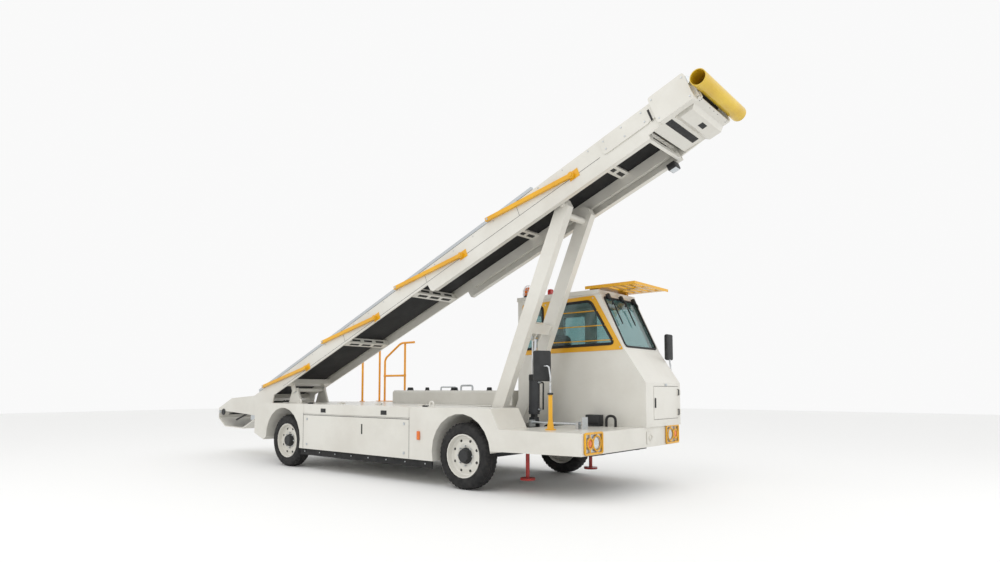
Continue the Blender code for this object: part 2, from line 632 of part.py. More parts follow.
def mirrors():
    post = rod("right_mirror", ASSEMBLY, (4.577, -0.84, LOW_DECK_Z + GAP), (4.577, -0.84, 1.08), 0.025, 12)
    stem = rod("stem", ASSEMBLY, (4.577, -0.84, 1.06), (4.577, -0.84, 1.30), 0.011, 8)
    arm = rod("arm", ASSEMBLY, (4.577, -0.84, 1.292), (4.50, -0.885, 1.32), 0.011, 8)
    head = box("head", ASSEMBLY, (4.465, -0.985, 1.222), (4.515, -0.815, 1.552))
    finish(join(post, stem, arm, head), "dark_trim")
    base = box("left_mirror", ASSEMBLY, (5.00, CAB_LEFT + GAP, 1.27), (5.06, CAB_LEFT + 0.02, 1.33))
    stem = rod("stem", ASSEMBLY, (5.03, CAB_LEFT + 0.011, 1.30), (5.01, 1.205, 1.40), 0.011, 8)
    arm = rod("arm", ASSEMBLY, (5.01, 1.20, 1.39), (4.985, 1.21, 1.56), 0.011, 8)
    head = box("head", ASSEMBLY, (4.955, 1.13, 1.505), (5.005, 1.30, 1.835))
    finish(join(base, stem, arm, head), "dark_trim")


# Boom ------------------------------------------------------------------------------------

def boom_plates():
    """Both side plates: shallow at the rear, a deep channel at the front, a skirt at the tail."""
    rear_low = to_boom(-1.54, 0.70)
    skirt = [(BELT_BEND, BOOM_TOP), rear_low, to_boom(-1.05, 0.70), (-0.399, SHALLOW_LOW)]
    deep = [(DEEP_START, SHALLOW_LOW), (DEEP_START + 0.02, DEEP_LOW + 0.03), (DEEP_START + 0.06, DEEP_LOW),
            (BOOM_END, DEEP_LOW), (BOOM_END, BOOM_TOP)]
    window = [to_boom(x, z) for x, z in ((-1.375, 0.765), (-1.16, 0.77), (-1.16, 0.86), (-1.20, 0.89), (-1.30, 0.89))]
    return skirt + deep, window


def boom(axis):
    outline, window = boom_plates()
    inner = BOOM_HALF - BOOM_SHEET
    frame = plate("boom_frame", axis, [outline, window], -BOOM_HALF, -inner)
    others = [plate("far_side", axis, [outline, window], inner, BOOM_HALF)]
    others.append(box("bed", axis, (-0.9, -inner - 0.001, 0.245), (6.70, inner + 0.001, 0.266 - BELT_SHEET - GAP)))
    lap = inner + 0.005
    for s in (-0.62, 0.025, 1.58, 3.13):
        others.append(box("cross_member", axis, (s - 0.06, -lap, 0.085), (s + 0.06, lap, 0.16)))
    for s in (4.76, 6.12):
        others.append(box("cross_member", axis, (s - 0.06, -lap, 0.135), (s + 0.06, lap, 0.16)))
    for side in (-1, 1):
        low, high = sorted((side * 0.33, side * lap))
        others.append(box("flange", axis, (3.50, low, DEEP_LOW), (BOOM_END - 0.01, high, DEEP_LOW + 0.010)))
        low, high = sorted((side * 0.293, side * 0.345))
        others.append(box("roller_track", axis, (3.60, low, TRACK_LOW), (BOOM_END - 0.02, high, 0.1595)))
        low, high = sorted((side * 0.275, side * 0.295))
        ear = [(-0.05, 0.12), (-0.045, -0.03), (0.045, -0.03), (0.05, 0.12)]
        others.append(plate("ear", axis, [ear], low, high))
    end = plate("end_frame", axis, [rectangle(-lap, DEEP_LOW + 0.001, lap, 0.14), rectangle(-0.28, 0.0, 0.28, 0.09)],
                BOOM_END - 0.04, BOOM_END - 0.005, "front")
    others.append(end)
    others.append(across("pivot_shaft", axis, 0.0, 0.0, -0.285, 0.285, PIN_R, 20))
    join(frame, *others)
    finish(frame, "white_paint")


def belt(axis):
    tail = to_boom(TAIL_ROLLER_X, TAIL_ROLLER_Z)
    lean = math.degrees(math.atan2(tail[1] - HEAD_ROLLER[1], BELT_BEND - tail[0]))

    def loop(radius):
        bend = radius * math.tan(math.radians(lean / 2))
        return (arc(HEAD_ROLLER, radius, -90.0, 90.0, BELT_STEPS)
                + [(BELT_BEND + bend, HEAD_ROLLER[1] + radius)]
                + arc(tail, radius, 90.0 - lean, 270.0 - lean, BELT_STEPS)
                + [(BELT_BEND - bend, HEAD_ROLLER[1] - radius)])

    piece = plate("conveyor_belt", axis, [loop(BELT_R), loop(BELT_R - BELT_SHEET)], -BELT_HALF, BELT_HALF)
    finish(piece, "black_rubber")


def boom_head(axis):
    inner = BOOM_HALF - BOOM_SHEET
    start = BOOM_END + GAP
    reach = TUBE_S - TUBE_R - GAP
    side = [(start, 0.0), (reach, 0.04), (reach, 0.24), (7.25, BOOM_TOP), (start, BOOM_TOP)]
    head = plate("boom_head", axis, [side], -BOOM_HALF, -inner)
    cover = rounded(rectangle(6.25, 0.10, 6.83, 0.283), 0.05)
    motor_box = rounded(rectangle(6.90, 0.0, 7.30, 0.30), 0.03, 3)
    join(head,
         plate("far_side", axis, [side], inner, BOOM_HALF),
         across("head_roller", axis, HEAD_ROLLER[0], HEAD_ROLLER[1], -inner - 0.01, inner + 0.01,
                END_ROLLER_R, 20),
         box("underside", axis, (6.80, -inner - 0.005, 0.020), (reach - 0.004, inner + 0.005, 0.034)),
         box("near_link", axis, (6.76, -0.411, 0.11), (6.93, -0.39, 0.27)),
         plate("cover", axis, [cover], -0.412, -BOOM_HALF - GAP),
         plate("motor_box", axis, [motor_box], -0.475, -0.39))
    finish(head, "white_paint")
    tube = across("bumper_tube", axis, TUBE_S, TUBE_N, -TUBE_HALF, TUBE_HALF, TUBE_R, 28)
    bore = across("tube_bore", axis, TUBE_S, TUBE_N, -TUBE_HALF - 0.05, TUBE_HALF + 0.05, TUBE_R - TUBE_WALL, 28)
    finish(cut(tube, bore), "yellow_paint")


def tail_hood(axis):
    joint = -1.54 - GAP
    inner = BOOM_HALF - BOOM_SHEET
    near = [(joint, 1.028), (-2.28, 0.98), (-2.73, 0.80), (-2.73, 0.765), (joint, 0.70)]
    far = [(joint, 1.028), (-2.28, 0.98), (-2.73, 0.80), (-2.73, 0.62), (-2.50, 0.48), (-1.90, 0.465), (joint, 0.62)]
    pan = [(-2.732, 0.797), (-2.732, 0.619), (-2.501, 0.478), (-1.90, 0.463), (joint - 0.002, 0.617),
           (joint - 0.002, 0.636), (-1.905, 0.480), (-2.494, 0.494), (-2.715, 0.627), (-2.715, 0.797)]

    def slanted(points):
        return [to_boom(x, z) for x, z in points]

    hood = plate("tail_hood", axis, [slanted(far)], inner, BOOM_HALF)
    tail = to_boom(TAIL_ROLLER_X, TAIL_ROLLER_Z)
    join(hood,
         plate("near_side", axis, [slanted(near)], -BOOM_HALF, -inner),
         plate("belly_pan", axis, [slanted(pan)], -BOOM_HALF + 0.002, inner + 0.005),
         across("tail_roller", axis, tail[0], tail[1], -inner - 0.01, inner + 0.01, END_ROLLER_R, 20))
    finish(hood, "white_paint")


def guard_rail(axis):
    rise = math.degrees(math.atan2(RAIL_RISE, RAIL_BACK))
    length = math.hypot(RAIL_BACK, RAIL_RISE)
    face = -BOOM_HALF - 0.0005
    for i in range(RAIL_ARMS):
        pivot = empty(f"rail_arm_{i + 1}_axis", axis, (RAIL_FIRST + i * RAIL_PITCH, 0, RAIL_PIVOT_N), -rise)
        arm = box(f"rail_arm_{i + 1}", pivot, (-length - 0.03, face - RAIL_BAR, -0.0225), (0.0, face, 0.0225))
        boss = across("boss", pivot, 0.0, 0.0, face - RAIL_BAR - 0.004, face, 0.035, 16)
        finish(join(arm, boss), "yellow_paint")
    height = RAIL_PIVOT_N + RAIL_RISE
    end = empty("guard_rail_axis", axis, (RAIL_FIRST - RAIL_BACK, 0, height))
    high = face + GAP + RAIL_BAR
    rail = box("guard_rail", end, (-0.18, face + GAP, -RAIL_BAR / 2), (5.90, high, RAIL_BAR / 2))
    finish(rail, "silver_metal")


# Lift ------------------------------------------------------------------------------------

def lift():
    axis = empty("lift_arm_axis", ASSEMBLY, (ARM_PIVOT[0], BOOM_Y, ARM_PIVOT[1]), ARM_ANGLE)
    half = ARM_DEPTH / 2
    end = [(0.0, -half), (ARM_LENGTH - 0.06, -half), (ARM_LENGTH, -half + 0.07), (ARM_LENGTH, half - 0.04),
           (ARM_LENGTH - 0.03, half), (0.0, half)]
    arms = plate("lift_arms", axis, [end], -ARM_OUTER, -ARM_INNER)
    others = [plate("far_arm", axis, [end], ARM_INNER, ARM_OUTER)]
    for side in (-1, 1):
        low, high = sorted((side * ARM_INNER, side * ARM_OUTER))
        others.append(across("foot", axis, 0.0, 0.0, low, high, half, 20))
        low, high = sorted((side * (ARM_OUTER - 0.02), side * 0.325))
        others.append(across("roller", axis, ROLLER_AT, 0.0, low, high, ROLLER_R, 16))
        low, high = sorted((side * (EYE_HALF + CLEAR), side * 0.054))
        lug = [(ARM_EYE - 0.035, -0.035), (1.22, -0.05), (1.22, 0.05), (ARM_EYE - 0.035, 0.035)]
        others.append(plate("rod_lug", axis, [lug], low, high))
    reach = ARM_INNER + 0.01
    others.append(across("pivot_shaft", axis, 0.0, 0.0, -reach, reach, PIN_R, 20))
    others.append(across("top_tube", axis, 2.60, 0.0, -reach, reach, 0.04, 16))
    others.append(box("crossbar", axis, (1.20, -reach, -0.05), (1.32, reach, 0.05)))
    join(arms, *others)
    finish(arms, "white_paint")

    dx = ARM_PIVOT[0] + ARM_EYE * math.cos(math.radians(ARM_ANGLE)) - CYLINDER_PIVOT[0]
    dz = ARM_PIVOT[1] + ARM_EYE * math.sin(math.radians(ARM_ANGLE)) - CYLINDER_PIVOT[1]
    eye = math.hypot(dx, dz)
    axis = empty("cylinder_axis", ASSEMBLY, (CYLINDER_PIVOT[0], BOOM_Y, CYLINDER_PIVOT[1]),
                 math.degrees(math.atan2(dz, dx)))
    barrel = rod("lift_cylinder", axis, (0.075, 0, 0), (BARREL_LENGTH, 0, 0), BARREL_R, 24)
    join(barrel,
         box("base", axis, (0.002, -0.027, -0.031), (0.088, 0.027, 0.031)),
         across("base_eye", axis, 0.0, 0.0, -0.0285, 0.0285, 0.035, 16),
         across("base_pin", axis, 0.0, 0.0, -0.055, 0.055, 0.02, 16))
    cut(barrel, rod("bore", axis, (0.10, 0, 0), (BARREL_LENGTH + 0.05, 0, 0), ROD_R + GAP, 24))
    finish(barrel, "charcoal_paint")
    rod_piece = rod("lift_rod", axis, (eye - ROD_LENGTH, 0, 0), (eye - 0.02, 0, 0), ROD_R, 24)
    join(rod_piece, across("rod_eye", axis, eye, 0.0, -EYE_HALF, EYE_HALF, 0.030, 16))
    finish(rod_piece, "chrome")


def centre_on_box():
    """Shifts the assembly so that the origin is the bottom centre of the whole box."""
    bpy.context.view_layer.update()
    graph = bpy.context.evaluated_depsgraph_get()
    low = Vector((1e9, 1e9, 1e9))
    high = -low
    for piece in PARTS.objects:
        solid = piece.evaluated_get(graph)
        mesh = solid.to_mesh()
        for vertex in mesh.vertices:
            place = solid.matrix_world @ vertex.co
            for k in range(3):
                low[k] = min(low[k], place[k])
                high[k] = max(high[k], place[k])
        solid.to_mesh_clear()
    ASSEMBLY.location = (-(low.x + high.x) / 2, -(low.y + high.y) / 2, -low.z)
    bpy.context.view_layer.update()
    print("shift", [round(v, 5) for v in ASSEMBLY.location], "size", [round(v, 4) for v in high - low])


chassis()
ladder_frame()
axles()
wheels()
stabilisers()
handrail()
cab()
cab_inside()
mirrors()
BOOM = empty("boom_axis", ASSEMBLY, (BOOM_PIVOT[0], BOOM_Y, BOOM_PIVOT[1]), BOOM_ANGLE)
boom(BOOM)
belt(BOOM)
boom_head(BOOM)
tail_hood(BOOM)
guard_rail(BOOM)
lift()
centre_on_box()
for axle in bpy.data.objects:
    if axle.type == "EMPTY":
        print("axis", axle.name, [round(v, 5) for v in axle.matrix_world.translation])
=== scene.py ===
import json
import math

import bpy
import numpy as np
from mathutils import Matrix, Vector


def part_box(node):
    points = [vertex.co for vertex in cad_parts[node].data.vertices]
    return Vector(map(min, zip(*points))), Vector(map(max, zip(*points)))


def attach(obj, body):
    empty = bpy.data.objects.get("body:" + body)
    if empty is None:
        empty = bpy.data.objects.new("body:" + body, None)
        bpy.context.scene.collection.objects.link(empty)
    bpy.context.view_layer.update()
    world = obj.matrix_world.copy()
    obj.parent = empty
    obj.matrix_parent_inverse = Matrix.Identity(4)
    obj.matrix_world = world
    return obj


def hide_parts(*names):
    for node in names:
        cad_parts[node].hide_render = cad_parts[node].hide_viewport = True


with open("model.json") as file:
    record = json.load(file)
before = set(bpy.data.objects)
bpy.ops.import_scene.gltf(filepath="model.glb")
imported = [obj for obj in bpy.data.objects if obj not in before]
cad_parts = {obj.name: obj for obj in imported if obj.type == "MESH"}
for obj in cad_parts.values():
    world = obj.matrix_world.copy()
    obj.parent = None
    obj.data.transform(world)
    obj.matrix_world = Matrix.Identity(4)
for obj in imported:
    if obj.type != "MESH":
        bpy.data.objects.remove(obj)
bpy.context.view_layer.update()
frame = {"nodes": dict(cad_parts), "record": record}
print("frame loaded", len(frame["nodes"]), "nodes")

# The vehicle's own axes: x from the rear axle, y from the centre line, z from the ground.
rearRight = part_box("rear_right_tyre")
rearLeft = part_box("rear_left_tyre")
originX = (rearRight[0][0] + rearRight[1][0]) / 2
originY = (rearRight[0][1] + rearLeft[1][1]) / 2
boomFrame = {"angle": 22.18, "pivotX": -0.55, "pivotZ": 1.12, "centreY": -0.325, "half": 0.40}
liftFrame = {"footX": 3.563, "footZ": 0.70, "angle": 67.4}
screenFrame = {"topX": 4.573, "topZ": 2.29, "lowX": 4.90, "lowZ": 1.60}


# ---- shapes: each is (points, faces) in the vehicle's axes

def gridFaces(rows, cols, closeCols=True, closeRows=False):
    # quads between neighbours of a rows x cols grid of points
    r = np.arange(rows if closeRows else rows - 1)
    c = np.arange(cols if closeCols else cols - 1)
    rr, cc = np.meshgrid(r, c, indexing="ij")
    down = (rr + 1) % rows
    right = (cc + 1) % cols
    quads = np.stack([rr * cols + cc, rr * cols + right, down * cols + right, down * cols + cc], axis=-1)
    return quads.reshape(-1, 4).tolist()


def roundBox(centre, size, radius=0.004, perCorner=2):
    # a sphere's normals n, pushed apart to the box: p = sign(n) * (half - radius) + radius * n
    cols, rows = perCorner * 4, perCorner * 2
    u = (np.arange(cols) + 0.5) / cols * 2 * np.pi
    v = (np.arange(rows) + 0.5) / rows * np.pi
    uu, vv = np.meshgrid(u, v)
    normal = np.stack([np.sin(vv) * np.cos(uu), np.sin(vv) * np.sin(uu), np.cos(vv)], axis=-1)
    half = np.array(size) / 2
    r = min(radius, half.min() * 0.95)
    points = (np.sign(normal) * (half - r) + r * normal + np.array(centre)).reshape(-1, 3)
    faces = [face[::-1] for face in gridFaces(rows, cols)]
    faces.append(list(range(cols))[::1])
    faces.append(list(range((rows - 1) * cols, rows * cols))[::-1])
    return points, faces


def turned(profile, centre, axis=(0, 0, 1), steps=24):
    # p = centre + height * axis + radius * (cos a * side + sin a * up), for (radius, height) top to bottom
    profile = np.array(profile, dtype=float)
    axis = np.array(axis, dtype=float)
    axis = axis / np.linalg.norm(axis)
    side = np.cross(axis, (0.0, 0.0, 1.0) if abs(axis[2]) < 0.9 else (1.0, 0.0, 0.0))
    side = side / np.linalg.norm(side)
    up = np.cross(axis, side)
    a = np.arange(steps) / steps * 2 * np.pi
    ring = np.cos(a)[:, None] * side + np.sin(a)[:, None] * up
    points = (np.array(centre) + profile[:, 1, None, None] * axis + profile[:, 0, None, None] * ring[None])
    rows = len(profile)
    faces = [face[::-1] for face in gridFaces(rows, steps)]
    faces.append(list(range(steps)))
    faces.append(list(range((rows - 1) * steps, rows * steps))[::-1])
    return points.reshape(-1, 3), faces


def disc(centre, radius, depth, axis=(0, 0, 1), steps=24, edge=0.002):
    e = min(edge, depth * 0.4, radius * 0.4)
    return turned([(radius - e, depth), (radius, depth - e), (radius, 0.0)], centre, axis, steps)


def softPath(points, radius=0.04, steps=5):
    # each corner becomes a quadratic curve between points set back by radius
    points = [np.array(p, dtype=float) for p in points]
    out = [points[0]]
    for before, corner, after in zip(points[:-2], points[1:-1], points[2:]):
        back = corner + (before - corner) / np.linalg.norm(before - corner) * radius
        on = corner + (after - corner) / np.linalg.norm(after - corner) * radius
        t = np.linspace(0, 1, steps + 1)[:, None]
        out.extend((1 - t) ** 2 * back + 2 * t * (1 - t) * corner + t * t * on)
    out.append(points[-1])
    return np.array(out)


def tube(path, radius, sides=10, closed=False):
    # circles carried along the path: p = path + radius * (cos a * side + sin a * up)
    path = np.array(path, dtype=float)
    count = len(path)
    if closed:
        tangent = np.roll(path, -1, axis=0) - np.roll(path, 1, axis=0)
    else:
        tangent = np.gradient(path, axis=0)
    tangent = tangent / np.linalg.norm(tangent, axis=1)[:, None]
    start = np.array((0.0, 0.0, 1.0)) if abs(tangent[0][2]) < 0.9 else np.array((1.0, 0.0, 0.0))
    sidesAt = np.zeros((count, 3))
    side = np.cross(tangent[0], start)
    for i in range(count):
        side = side - tangent[i] * side.dot(tangent[i])
        side = side / np.linalg.norm(side)
        sidesAt[i] = side
    upAt = np.cross(tangent, sidesAt)
    a = np.arange(sides) / sides * 2 * np.pi
    points = (path[:, None] + radius * (np.cos(a)[None, :, None] * sidesAt[:, None]
                                        + np.sin(a)[None, :, None] * upAt[:, None]))
    faces = gridFaces(count, sides, True, closed)
    if not closed:
        faces.append(list(range(sides))[::-1])
        faces.append(list(range((count - 1) * sides, count * sides)))
    return points.reshape(-1, 3), faces


def slab(outline, low, high, plane="side", edge=0.003):
    # an outline carried from low to high, its rims drawn in by edge
    flat = np.array(outline, dtype=float)
    if np.sum(flat[:, 0] * np.roll(flat[:, 1], -1) - np.roll(flat[:, 0], -1) * flat[:, 1]) < 0:
        flat = flat[::-1]
    along = np.roll(flat, -1, axis=0) - np.roll(flat, 1, axis=0)
    inward = np.stack([-along[:, 1], along[:, 0]], axis=1)
    inward = inward / np.maximum(np.linalg.norm(inward, axis=1), 1e-9)[:, None]
    e = min(edge, (high - low) * 0.45)
    layers = [(low, e), (low + e, 0.0), (high - e, 0.0), (high, e)]
    rows = []
    for level, inset in layers:
        ring = flat + inward * inset
        third = np.full(len(flat), level)
        if plane == "side":
            rows.append(np.stack([ring[:, 0], third, ring[:, 1]], axis=1))
        elif plane == "front":
            rows.append(np.stack([third, ring[:, 0], ring[:, 1]], axis=1))
        else:
            rows.append(np.stack([ring[:, 0], ring[:, 1], third], axis=1))
    count = len(flat)
    faces = gridFaces(4, count)
    faces.append(list(range(count))[::-1])
    faces.append(list(range(3 * count, 4 * count)))
    if plane == "side":
        faces = [face[::-1] for face in faces]
    return np.concatenate(rows), faces


def roundOutline(points, radius=0.03, steps=4):
    loop = [points[-1]] + list(points) + [points[0]]
    return softPath(loop, radius, steps)[1:-1]


def together(*shapes):
    points, faces, count = [], [], 0
    for shape in shapes:
        points.append(shape[0])
        faces.extend([[i + count for i in face] for face in shape[1]])
        count += len(shape[0])
    return np.concatenate(points), faces


def onBoom(shape):
    # (along, across, normal) of the boom to the vehicle's axes
    a = math.radians(boomFrame["angle"])
    s, y, n = shape[0].T
    x = boomFrame["pivotX"] + s * math.cos(a) - n * math.sin(a)
    z = boomFrame["pivotZ"] + s * math.sin(a) + n * math.cos(a)
    return np.stack([x, y + boomFrame["centreY"], z], axis=1), shape[1]


def onArm(shape):
    a = math.radians(liftFrame["angle"])
    s, y, n = shape[0].T
    x = liftFrame["footX"] + s * math.cos(a) - n * math.sin(a)
    z = liftFrame["footZ"] + s * math.sin(a) + n * math.cos(a)
    return np.stack([x, y + boomFrame["centreY"], z], axis=1), shape[1]


def onScreen(shape):
    # local x runs down the windscreen, local z points out of it
    d = np.array((screenFrame["lowX"] - screenFrame["topX"], screenFrame["lowZ"] - screenFrame["topZ"]))
    d = d / np.linalg.norm(d)
    s, y, n = shape[0].T
    return np.stack([screenFrame["topX"] + s * d[0] - n * d[1], y, screenFrame["topZ"] + s * d[1] + n * d[0]],
                    axis=1), shape[1]


def addPiece(name, shape, material, body, smooth=40):
    mesh = bpy.data.meshes.new(name)
    points = shape[0] + np.array((originX, originY, 0.0))
    mesh.from_pydata(points.tolist(), [], shape[1])
    mesh.update()
    mesh.materials.append(material)
    mesh.shade_smooth()
    mesh.set_sharp_from_angle(angle=math.radians(smooth))
    piece = bpy.data.objects.new(name, mesh)
    bpy.context.scene.collection.objects.link(piece)
    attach(piece, body)
    return piece


# ---- materials

def linearColour(code):
    parts = [int(code[i:i + 2], 16) / 255 for i in (1, 3, 5)]
    return [p / 12.92 if p <= 0.04045 else ((p + 0.055) / 1.055) ** 2.4 for p in parts] + [1.0]


def addNode(tree, kind, inputs=(), **settings):
    node = tree.nodes.new(kind)
    for key, value in settings.items():
        setattr(node, key, value)
    for key, value in dict(inputs).items():
        if isinstance(value, bpy.types.NodeSocket):
            tree.links.new(value, node.inputs[key])
        else:
            node.inputs[key].default_value = value
    return node


finishes = {
    # two-pack polyurethane enamel: smooth, faint orange peel, dust settled unevenly
    "whitePolyurethaneEnamel": {"colour": "#DDDBD3", "second": "#D3D0C7", "rough": 0.32, "coat": 0.25,
                                "patchMm": 700, "grainMm": 6, "grainDeep": 0.00012},
    "yellowPolyurethaneEnamel": {"colour": "#E8AE1A", "second": "#DCA014", "rough": 0.34, "coat": 0.25,
                                 "patchMm": 350, "grainMm": 5, "grainDeep": 0.00012},
    "lemonPolyurethaneEnamel": {"colour": "#DDBB28", "second": "#CFA91F", "rough": 0.34, "coat": 0.25,
                                "patchMm": 300, "grainMm": 5, "grainDeep": 0.00012},
    "orangePowderCoat": {"colour": "#F2A71E", "second": "#E0931A", "rough": 0.42, "coat": 0.1,
                         "patchMm": 250, "grainMm": 3, "grainDeep": 0.0002},
    # chassis black: satin alkyd, a little dust
    "charcoalChassisPaint": {"colour": "#26282B", "second": "#333537", "rough": 0.5, "patchMm": 180,
                             "grainMm": 6, "grainDeep": 0.0003},
    # PVC conveyor belt: rough top cover with a fine cross rib, drawn 12 mm apart so that it shows
    "ribbedConveyorPvc": {"colour": "#0E0F11", "second": "#17181A", "rough": 0.72, "patchMm": 300,
                          "grainMm": 4, "grainDeep": 0.0004, "ribMm": 12},
    # sulphur-cured rubber: matt, greyed where it is scuffed
    "vulcanisedTyreRubber": {"colour": "#19191A", "second": "#2B2A29", "rough": 0.82, "patchMm": 60,
                             "grainMm": 2, "grainDeep": 0.0003},
    "skirtRubberSheet": {"colour": "#1C1C1D", "second": "#2A2A29", "rough": 0.78, "patchMm": 120,
                         "grainMm": 5, "grainDeep": 0.0004},
    # hard chrome on ground steel: a mirror with fine lengthwise drag
    "hardChromePlate": {"colour": "#D6D8DA", "second": "#C6C8CA", "rough": 0.1, "metal": 1.0, "patchMm": 90,
                        "grainMm": 2, "grainDeep": 0.00004},
    # zinc plated steel: soft grey spangle
    "zincPlatedSteel": {"colour": "#CDD1D3", "second": "#BABEC1", "rough": 0.36, "metal": 1.0, "patchMm": 14,
                        "grainMm": 3, "grainDeep": 0.0001},
    # moulded ABS: leather grain about 1 mm, drawn 3 mm so that it shows
    "mouldedBlackAbs": {"colour": "#202122", "second": "#2A2B2C", "rough": 0.55, "patchMm": 80,
                        "grainMm": 3, "grainDeep": 0.0004},
    # woven polyester seat cloth, threads drawn at 4 mm
    "wovenSeatCloth": {"colour": "#2B2C30", "second": "#3A3B40", "rough": 0.9, "patchMm": 30,
                       "grainMm": 4, "grainDeep": 0.0008},
    "redPolyurethaneEnamel": {"colour": "#B3261B", "second": "#961D15", "rough": 0.36, "coat": 0.2,
                              "patchMm": 90, "grainMm": 4, "grainDeep": 0.0001},
    "nitrileGasketRubber": {"colour": "#121314", "second": "#1E1E1F", "rough": 0.6, "patchMm": 50,
                            "grainMm": 2, "grainDeep": 0.0002},
    # coloured lens polycarbonate
    "amberPolycarbonate": {"colour": "#E8760E", "second": "#D46309", "rough": 0.15, "coat": 0.6,
                           "patchMm": 20, "grainMm": 4, "grainDeep": 0.0003},
    "redPolycarbonate": {"colour": "#C3201A", "second": "#A81813", "rough": 0.15, "coat": 0.6,
                         "patchMm": 20, "grainMm": 4, "grainDeep": 0.0003},
    "silveredReflector": {"colour": "#D9DDE0", "second": "#BFC5CA", "rough": 0.08, "metal": 1.0,
                          "patchMm": 15, "grainMm": 8, "grainDeep": 0.0004},
    "shadowedGap": {"colour": "#3C3C3A", "second": "#2C2C2B", "rough": 0.8, "patchMm": 40,
                    "grainMm": 4, "grainDeep": 0.0002},
}


def makeFinish(name):
    # colour drifts between two tones in large soft patches, and a fine grain lifts the surface
    values = finishes[name]
    material = bpy.data.materials.new(name)
    material.use_nodes = True
    tree = material.node_tree
    shader = tree.nodes["Principled BSDF"]
    place = addNode(tree, "ShaderNodeTexCoord")
    patch = addNode(tree, "ShaderNodeTexNoise", {"Vector": place.outputs["Object"],
                                                 "Scale": 1000 / values["patchMm"], "Detail": 5.0,
                                                 "Roughness": 0.6})
    tone = addNode(tree, "ShaderNodeValToRGB", {"Fac": patch.outputs["Fac"]})
    tone.color_ramp.elements[0].position = 0.35
    tone.color_ramp.elements[0].color = linearColour(values["second"])
    tone.color_ramp.elements[1].position = 0.62
    tone.color_ramp.elements[1].color = linearColour(values["colour"])
    tree.links.new(tone.outputs["Color"], shader.inputs["Base Color"])
    grain = addNode(tree, "ShaderNodeTexNoise", {"Vector": place.outputs["Object"],
                                                 "Scale": 1000 / values["grainMm"], "Detail": 2.0})
    height = grain.outputs["Fac"]
    if "ribMm" in values:
        rib = addNode(tree, "ShaderNodeTexWave", {"Vector": place.outputs["Object"],
                                                  "Scale": 1000 / values["ribMm"] / 6.28 * 1.6,
                                                  "Distortion": 0.4}, bands_direction="X")
        both = addNode(tree, "ShaderNodeMath", {0: height, 1: rib.outputs["Fac"]}, operation="ADD")
        height = both.outputs["Value"]
    bump = addNode(tree, "ShaderNodeBump", {"Height": height, "Distance": values["grainDeep"] * 4,
                                            "Strength": 0.5})
    tree.links.new(bump.outputs["Normal"], shader.inputs["Normal"])
    rough = values["rough"]
    spread = addNode(tree, "ShaderNodeMapRange", {"Value": patch.outputs["Fac"], "To Min": rough * 0.85,
                                                  "To Max": min(1.0, rough * 1.2)})
    tree.links.new(spread.outputs["Result"], shader.inputs["Roughness"])
    shader.inputs["Metallic"].default_value = values.get("metal", 0.0)
    shader.inputs["Coat Weight"].default_value = values.get("coat", 0.0)
    shader.inputs["Coat Roughness"].default_value = 0.12
    return material


def makeGlass():
    # tempered soda-lime glass with a green-blue tint, a few faint smears in its polish
    material = bpy.data.materials.new("tintedTemperedGlass")
    material.use_nodes = True
    tree = material.node_tree
    shader = tree.nodes["Principled BSDF"]
    place = addNode(tree, "ShaderNodeTexCoord")
    smear = addNode(tree, "ShaderNodeTexNoise", {"Vector": place.outputs["Object"], "Scale": 5.0, "Detail": 4.0})
    polish = addNode(tree, "ShaderNodeMapRange", {"Value": smear.outputs["Fac"], "To Min": 0.02, "To Max": 0.07})
    tree.links.new(polish.outputs["Result"], shader.inputs["Roughness"])
    shader.inputs["Base Color"].default_value = linearColour("#A9C6C6")
    shader.inputs["Transmission Weight"].default_value = 0.92
    shader.inputs["IOR"].default_value = 1.45
    return material


made = {name: makeFinish(name) for name in finishes}
made["tintedTemperedGlass"] = makeGlass()
white = made["whitePolyurethaneEnamel"]
yellow = made["yellowPolyurethaneEnamel"]
charcoal = made["charcoalChassisPaint"]
zinc = made["zincPlatedSteel"]
chrome = made["hardChromePlate"]
abs_ = made["mouldedBlackAbs"]
gasket = made["nitrileGasketRubber"]
gap = made["shadowedGap"]
amber = made["amberPolycarbonate"]
reflector = made["silveredReflector"]

slotFinish = {"white_paint": white, "yellow_paint": yellow, "orange_paint": made["orangePowderCoat"],
              "belt_rubber": made["ribbedConveyorPvc"], "skirt_rubber": made["skirtRubberSheet"],
              "tyre_rubber": made["vulcanisedTyreRubber"], "charcoal_paint": charcoal,
              "chrome_plate": chrome, "silver_metal": zinc, "glass": made["tintedTemperedGlass"],
              "red_paint": made["redPolyurethaneEnamel"], "dark_trim": abs_,
              "seat_cloth": made["wovenSeatCloth"]}
for part in frame["record"]["subparts"]:
    node = frame["nodes"][part["node"]]
    node.data.materials.clear()
    node.data.materials.append(slotFinish[part["material_slot"]])
frame["nodes"]["bumper_tube"].data.materials[0] = made["lemonPolyurethaneEnamel"]
print("materials made", len(made))


# ---- wheels

tyreSize = {"turns": 176, "around": 40, "lugs": 44, "grooveDeep": 0.011, "axleZ": 0.38, "offset": 0.985}
tyreProfile = np.array([(0.250, 0.080), (0.262, 0.098), (0.285, 0.102), (0.315, 0.104), (0.338, 0.1),
                        (0.357, 0.091), (0.371, 0.078), (0.3785, 0.060), (0.380, 0.03), (0.380, -0.03),
                        (0.3785, -0.060), (0.371, -0.078), (0.357, -0.091), (0.338, -0.1), (0.315, -0.104),
                        (0.285, -0.102), (0.262, -0.098), (0.250, -0.080)])


